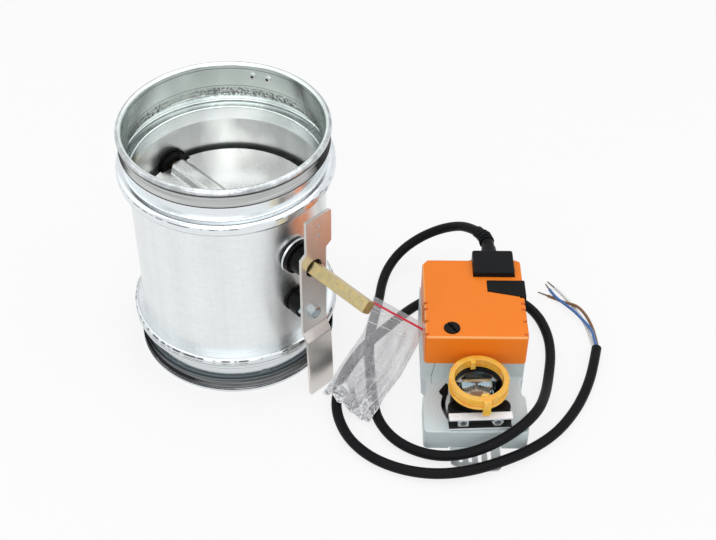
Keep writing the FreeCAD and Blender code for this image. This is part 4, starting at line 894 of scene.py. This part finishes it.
# %% [markdown]
# ## Clear bag
# A small zip bag is two sheets of film welded at the sides and folded at the foot. A cloth simulation
# could crumple it, but it would drift from the place where it leans. It is lofted instead: the rows run
# from the mouth to the foot, and each row is bent and puffed out. Where the film crosses the cable it is
# lifted over it.

# %% Bag sections
bag_rows = [
    # left edge, right edge, thickness, crumple
    ((122.4, 8.0, 106.4), (127.5, 50.6, 55.2), 0.5, 0.05),
    ((118.2, 9.3, 89.0), (127.0, 46.9, 46.0), 1.0, 0.15),
    ((112.6, 9.8, 68.0), (126.8, 44.8, 40.0), 3.5, 0.40),
    ((104.6, 6.6, 46.5), (126.6, 37.9, 30.5), 5.5, 0.65),
    ((99.0, 2.0, 30.0), (127.0, 29.0, 21.5), 6.0, 0.9),
    ((94.8, -2.4, 14.5), (127.6, 15.0, 13.0), 5.0, 1.1),
    ((91.5, -6.2, 5.0), (130.6, -1.4, 2.6), 2.5, 1.2),
]
bag_lean = Vector((0.72, -0.42, 0.55)).normalized()
lift_reach, lift_height, lift_fall, floor_gap = 9.0, 4.3, 6.0, 0.5


def under_bag(place):
    """Whether a point in millimetres lies low where the bag crosses the cable."""
    return 80 < place.x < 142 and -20 < place.y < 62 and place.z < 9


low_cable = [place / mm for place in line_of(cable) if under_bag(place / mm)]
lefts = [Vector(row[0]) for row in bag_rows]
rights = [Vector(row[1]) for row in bag_rows]
fullness = [row[2] for row in bag_rows]
crumples = [row[3] for row in bag_rows]
print("bag rows:", len(bag_rows), "cable points under it:", len(low_cable))

# %% [markdown]
# ## Folds of the film
# Film hangs in soft pleats from the stiff closure, and it creases along straight sharp folds, few at the
# mouth and many at the foot. A sine that wanders a little makes the pleats, and the borders of random
# cells make the creases. Smooth noise alone would look like cloth.

# %% Shape of the film
pleat_angle, pleat_depth = 24, 2.25  # radians across the bag, millimetres


def eased(values, share):
    """A smooth value along a list, share from 0 to 1 (Catmull-Rom)."""
    at = share * (len(values) - 1)
    i = min(int(at), len(values) - 2)
    t = at - i
    a, b, c, d = (values[max(0, min(len(values) - 1, i + k))] for k in (-1, 0, 1, 2))
    return (b * 2 + (c - a) * t + (a * 2 - b * 5 + c * 4 - d) * t * t
            + (b * 3 - a - c * 3 + d) * t ** 3) * 0.5


def lifted(point):
    """A point in millimetres, raised over the cable where it crosses it, and kept off the floor."""
    lowest = floor_gap
    for place in low_cable:
        away = math.hypot(point.x - place.x, point.y - place.y)
        if away < lift_reach:
            lowest = max(lowest, place.z + lift_height - lift_fall * (away / lift_reach) ** 2)
    return Vector((point.x, point.y, max(point.z, lowest)))


def film_point(across, down, side):
    """A point in metres of the front film (side 1) or the back film (side -1), and its crease."""
    left, right = eased(lefts, down), eased(rights, down)
    middle = left.lerp(right, across)
    puff = max(0.0, eased(fullness, down)) / 2 * math.sin(math.pi * across) ** 0.7
    seed = Vector((across * 2.4, down * 3.2, side * 4.0))
    folds = 1 - abs(noise.noise(seed * 1.3)) * 2.4
    near = noise.voronoi(seed * 2.6 + Vector((3, 1, 7)))[0]
    fine = noise.voronoi(seed * 6.5)[0]
    crease = max(0.0, 1 - (near[1] - near[0]) * 3.2)
    small = max(0.0, 1 - (fine[1] - fine[0]) * 3.0)
    rough = max(0.0, eased(crumples, down)) * math.sin(math.pi * across) ** 0.4
    near_foot = max(0.0, down * 2.2 - 1.2)
    push = puff * side + rough * side * (folds * 0.9 + crease * 1.1 + small * near_foot * 0.9 - 0.7)
    wander = noise.noise(Vector((across, down * 2.5, 7))) * 3.0
    pleat = math.sin(across * pleat_angle + wander) * pleat_depth
    pleat *= min(1.0, down * 2.2) * math.sin(math.pi * across) ** 0.6
    return lifted(middle + bag_lean * (push + pleat)) * mm, max(crease * min(1.0, rough), small * near_foot)


print("middle of the bag:", film_point(0.5, 0.5, 1)[0])

# %% [markdown]
# ## Two films in one mesh
# The front and the back film are two grids of the same function, which meet at the welds and at the foot.
# Each vertex also stores its place across and down the bag and how sharply it is creased, for the finish.

# %% Film mesh
across_steps, down_steps = 84, 132
verts, faces, marks = [], [], []
for side in (1, -1):
    first = len(verts)
    for j in range(down_steps + 1):
        for i in range(across_steps + 1):
            across, down = i / across_steps, j / down_steps
            place, crease = film_point(across, down, side)
            verts.append(place)
            marks += [across, down, crease]
    for j in range(down_steps):
        for i in range(across_steps):
            a = first + j * (across_steps + 1) + i
            quad = (a, a + 1, a + across_steps + 2, a + across_steps + 1)
            faces.append(quad if side < 0 else quad[::-1])
bag = mesh_object("bag_film", verts, faces)
bag.data.shade_smooth()
bag.data.attributes.new("film", "FLOAT_VECTOR", "POINT").data.foreach_set("vector", marks)
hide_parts("zip_bag")
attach(bag, "root")
print("bag vertices:", len(verts))

# %% [markdown]
# ## Film
# Polythene film is clear with a faint grey haze, and its welds are pale. Where it bends it flashes white as
# painted highlight, with pale painted streaks, and dark painted shadows lie among the folds at the foot.
# Glass shading would darken what lies under it, so the film is a thin see-through layer whose alpha carries
# the haze. The white follows the creases that the mesh stored.

# %% Film finish
def clear_film():
    """Hazy polythene with painted highlights on creases, pale welds, painted shadows at the foot, and more
    white at grazing angles.
    """
    clear, white, deep = (0.57, 0.57, 0.59), (0.93, 0.94, 0.97), (0.06, 0.06, 0.08)
    f = Finish("bag_film", clear, 0.14, Specular_IOR_Level=0.9)
    spot = f.node("ShaderNodeAttribute", {"attribute_name": "film"}, out="Vector")
    across, down, crease = f.parts(spot)
    haze = f.cloud(0.014, 4.0, 0.6, (1, 1, 0.5))
    edge = f.node("ShaderNodeLayerWeight", {}, {"Blend": 0.28}, "Facing")
    foot = f.between(down, 0.60, 0.95)
    sharp = f.between(crease, 0.45, 0.95)
    streaks = f.between(f.cloud(0.0080, 3.0, 0.6, (1, 1, 0.25)), 0.52, 0.66)
    shadows = f.band(f.cloud(0.0075, 3.0, 0.6), 0.5, 0.014) * foot
    welds = f.between((across - 0.5).maths("ABSOLUTE"), 0.480, 0.487) + f.between(down, 0.988, 0.993)
    # painted highlights: white on sharp creases and in streaks, strongest at the foot; the welds are pale
    # of their own
    painted_highlights_and_welds = sharp * (0.10 + foot * 0.90) + streaks * (0.12 + down * 0.30 + foot * 0.35) + welds * 0.6
    f.put("Base Color", f.mixed(shadows, f.mixed(painted_highlights_and_welds, clear, white), deep))
    f.put("Alpha", 0.16 + haze * 0.26 + edge * 0.20 + foot * 0.14 + painted_highlights_and_welds * 0.60 + shadows * 0.3)
    f.put("Roughness", 0.08 + haze * 0.16)
    f.put("Normal", f.raised(f.cloud(0.0050, 4.0, 0.6), 0.0006, 0.4))
    return f.material


finishes["bag_film"] = clear_film()
bag.data.materials.append(finishes["bag_film"])
print("film nodes:", len(finishes["bag_film"].node_tree.nodes))

# %% [markdown]
# ## Closure of the bag
# The mouth closes with two pressed ribs, a red line shows where to press, and a weld ends the closure.
# They are thin strips that follow the film's own rows, so they lean and bend with it.

# %% Closure strips
def strip_along(name, down, height, lift, color, alpha):
    """A thin band across the bag at a share of its length."""
    verts, faces = [], []
    count, half = 48, height / 2
    for i in range(count + 1):
        across = 0.012 + 0.976 * i / count
        for row, out in ((-half, 0.0), (-half * 0.55, lift), (half * 0.55, lift), (half, 0.0)):
            verts.append(film_point(across, down + row, 1)[0] + bag_lean * (0.05 * mm + out))
    for i in range(count):
        for k in range(3):
            a = i * 4 + k
            faces.append((a, a + 1, a + 5, a + 4))
    strip = mesh_object(name, verts, faces)
    strip.data.shade_smooth()
    f = Finish(name, color, 0.3, Coat_Weight=0.2)
    tone = f.cloud(0.004, 3.0)
    f.put("Base Color", f.shaded(0.9 + tone * 0.2))
    f.put("Roughness", 0.25 + tone * 0.1)
    f.put("Normal", f.raised(tone, 0.0001, 0.3))
    f.put("Alpha", alpha + tone * 0.1)
    strip.data.materials.append(f.material)
    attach(strip, "root")
    return strip


closure = [strip_along("closure_line", 0.078, 0.023, 0.50 * mm, (0.72, 0.008, 0.055), 1.0),
           strip_along("closure_rib", 0.112, 0.012, 0.35 * mm, (0.80, 0.80, 0.82), 0.45),
           strip_along("closure_edge", 0.146, 0.008, 0.30 * mm, (0.85, 0.85, 0.87), 0.40),
           strip_along("closure_weld", 0.250, 0.009, 0.25 * mm, (0.92, 0.93, 0.95), 0.55)]
print("closure strips:", len(closure))

# %% [markdown]
# ## Floor and background
# The object stands on a plain pale floor. For the camera and for mirrors the floor is lifted towards
# white, which gives a clean background without more light on the object, and a share of the real
# shading stays, so that the shadow keeps the object on the ground.

# %% Floor
floor_size = 3.0
white_share = 0.80
corners = [(x * floor_size, y * floor_size, 0) for x, y in ((-1, -1), (1, -1), (1, 1), (-1, 1))]
floor = mesh_object("floor", corners, [(0, 1, 2, 3)])
f = Finish("floor", (0.86, 0.86, 0.86), 0.7)
seen = f.rays("Camera") + f.rays("Glossy") + f.rays("Transmission")
white = f.node("ShaderNodeEmission", {}, {0: (1, 1, 1, 1), 1: 1.0})
shaded = Amount(f, f.shader.outputs[0])
surface = f.node("ShaderNodeMixShader", {}, {0: seen * white_share, 1: shaded, 2: white})
f.feed(f.tree.nodes["Material Output"].inputs[0], surface)
floor.data.materials.append(f.material)
print("floor:", floor_size * 2, "m square, lifted by", white_share)

# %% [markdown]
# ## Room light
# The world gives even light, and the lamps are wide and weak, so that a mirror shows a bright soft field
# and never a white-hot spot. For mirrors the world is brighter and has faint upright streaks, as the
# panels and curtains of a studio have: they draw the soft bands down the duct. It never gets brighter
# than white.

# %% World
world = bpy.data.worlds.new("studio")
bpy.context.scene.world = world
world.use_nodes = True
room = Net(world.node_tree, "Generated")
streaks = room.cloud(0.55, 3.0, 0.5, (1, 1, 0.12))
straight, mirrored, passing = [room.rays(kind) for kind in ("Camera", "Glossy", "Transmission")]
diffuse_level, mirror_level, streak_depth = 0.50, 0.40, 0.50
level = diffuse_level + (straight + passing) * (1 - diffuse_level)
level = level + mirrored * (mirror_level + (streaks - 0.5) * streak_depth)
level = level.maths("MINIMUM", 1.0)
sky = world.node_tree.nodes["Background"]
room.feed(sky.inputs[0], (0.98, 0.99, 1.0, 1))
room.feed(sky.inputs[1], level)
print("world:", diffuse_level, "for surfaces,", diffuse_level + mirror_level, "for mirrors")

# %% [markdown]
# ## Lamps
# One lamp hangs overhead, and three stand around like windows. Their strength is given as the radiance of
# their face, where 1 is white, because that tells how bright they look in a mirror. Blender wants watts,
# so the helper turns one into the other.

# %% Lamps
middle = Vector((0.08, 0.04, 0.06))


def lamp(name, place, width, height, radiance):
    """A soft rectangular lamp that points at the middle of the object."""
    data = bpy.data.lights.new(name, "AREA")
    data.shape = "RECTANGLE"
    data.size, data.size_y = width, height
    data.energy = math.pi * width * height * radiance
    made = placed(name, data)
    made.location = place
    made.rotation_euler = (middle - Vector(place)).to_track_quat("-Z", "Y").to_euler()


lamp("overhead", (0.05, 0.25, 1.6), 2.0, 2.0, 0.95)
lamp("window_left", (-0.75, -0.60, 0.7), 1.2, 1.2, 0.4)
lamp("window_front", (0.75, -0.95, 0.75), 1.4, 1.2, 1.0)
lamp("window_right", (1.05, 0.45, 0.6), 1.0, 1.0, 0.5)

# %% [markdown]
# ## Sizes
# The dressed part has to keep the solids' size.
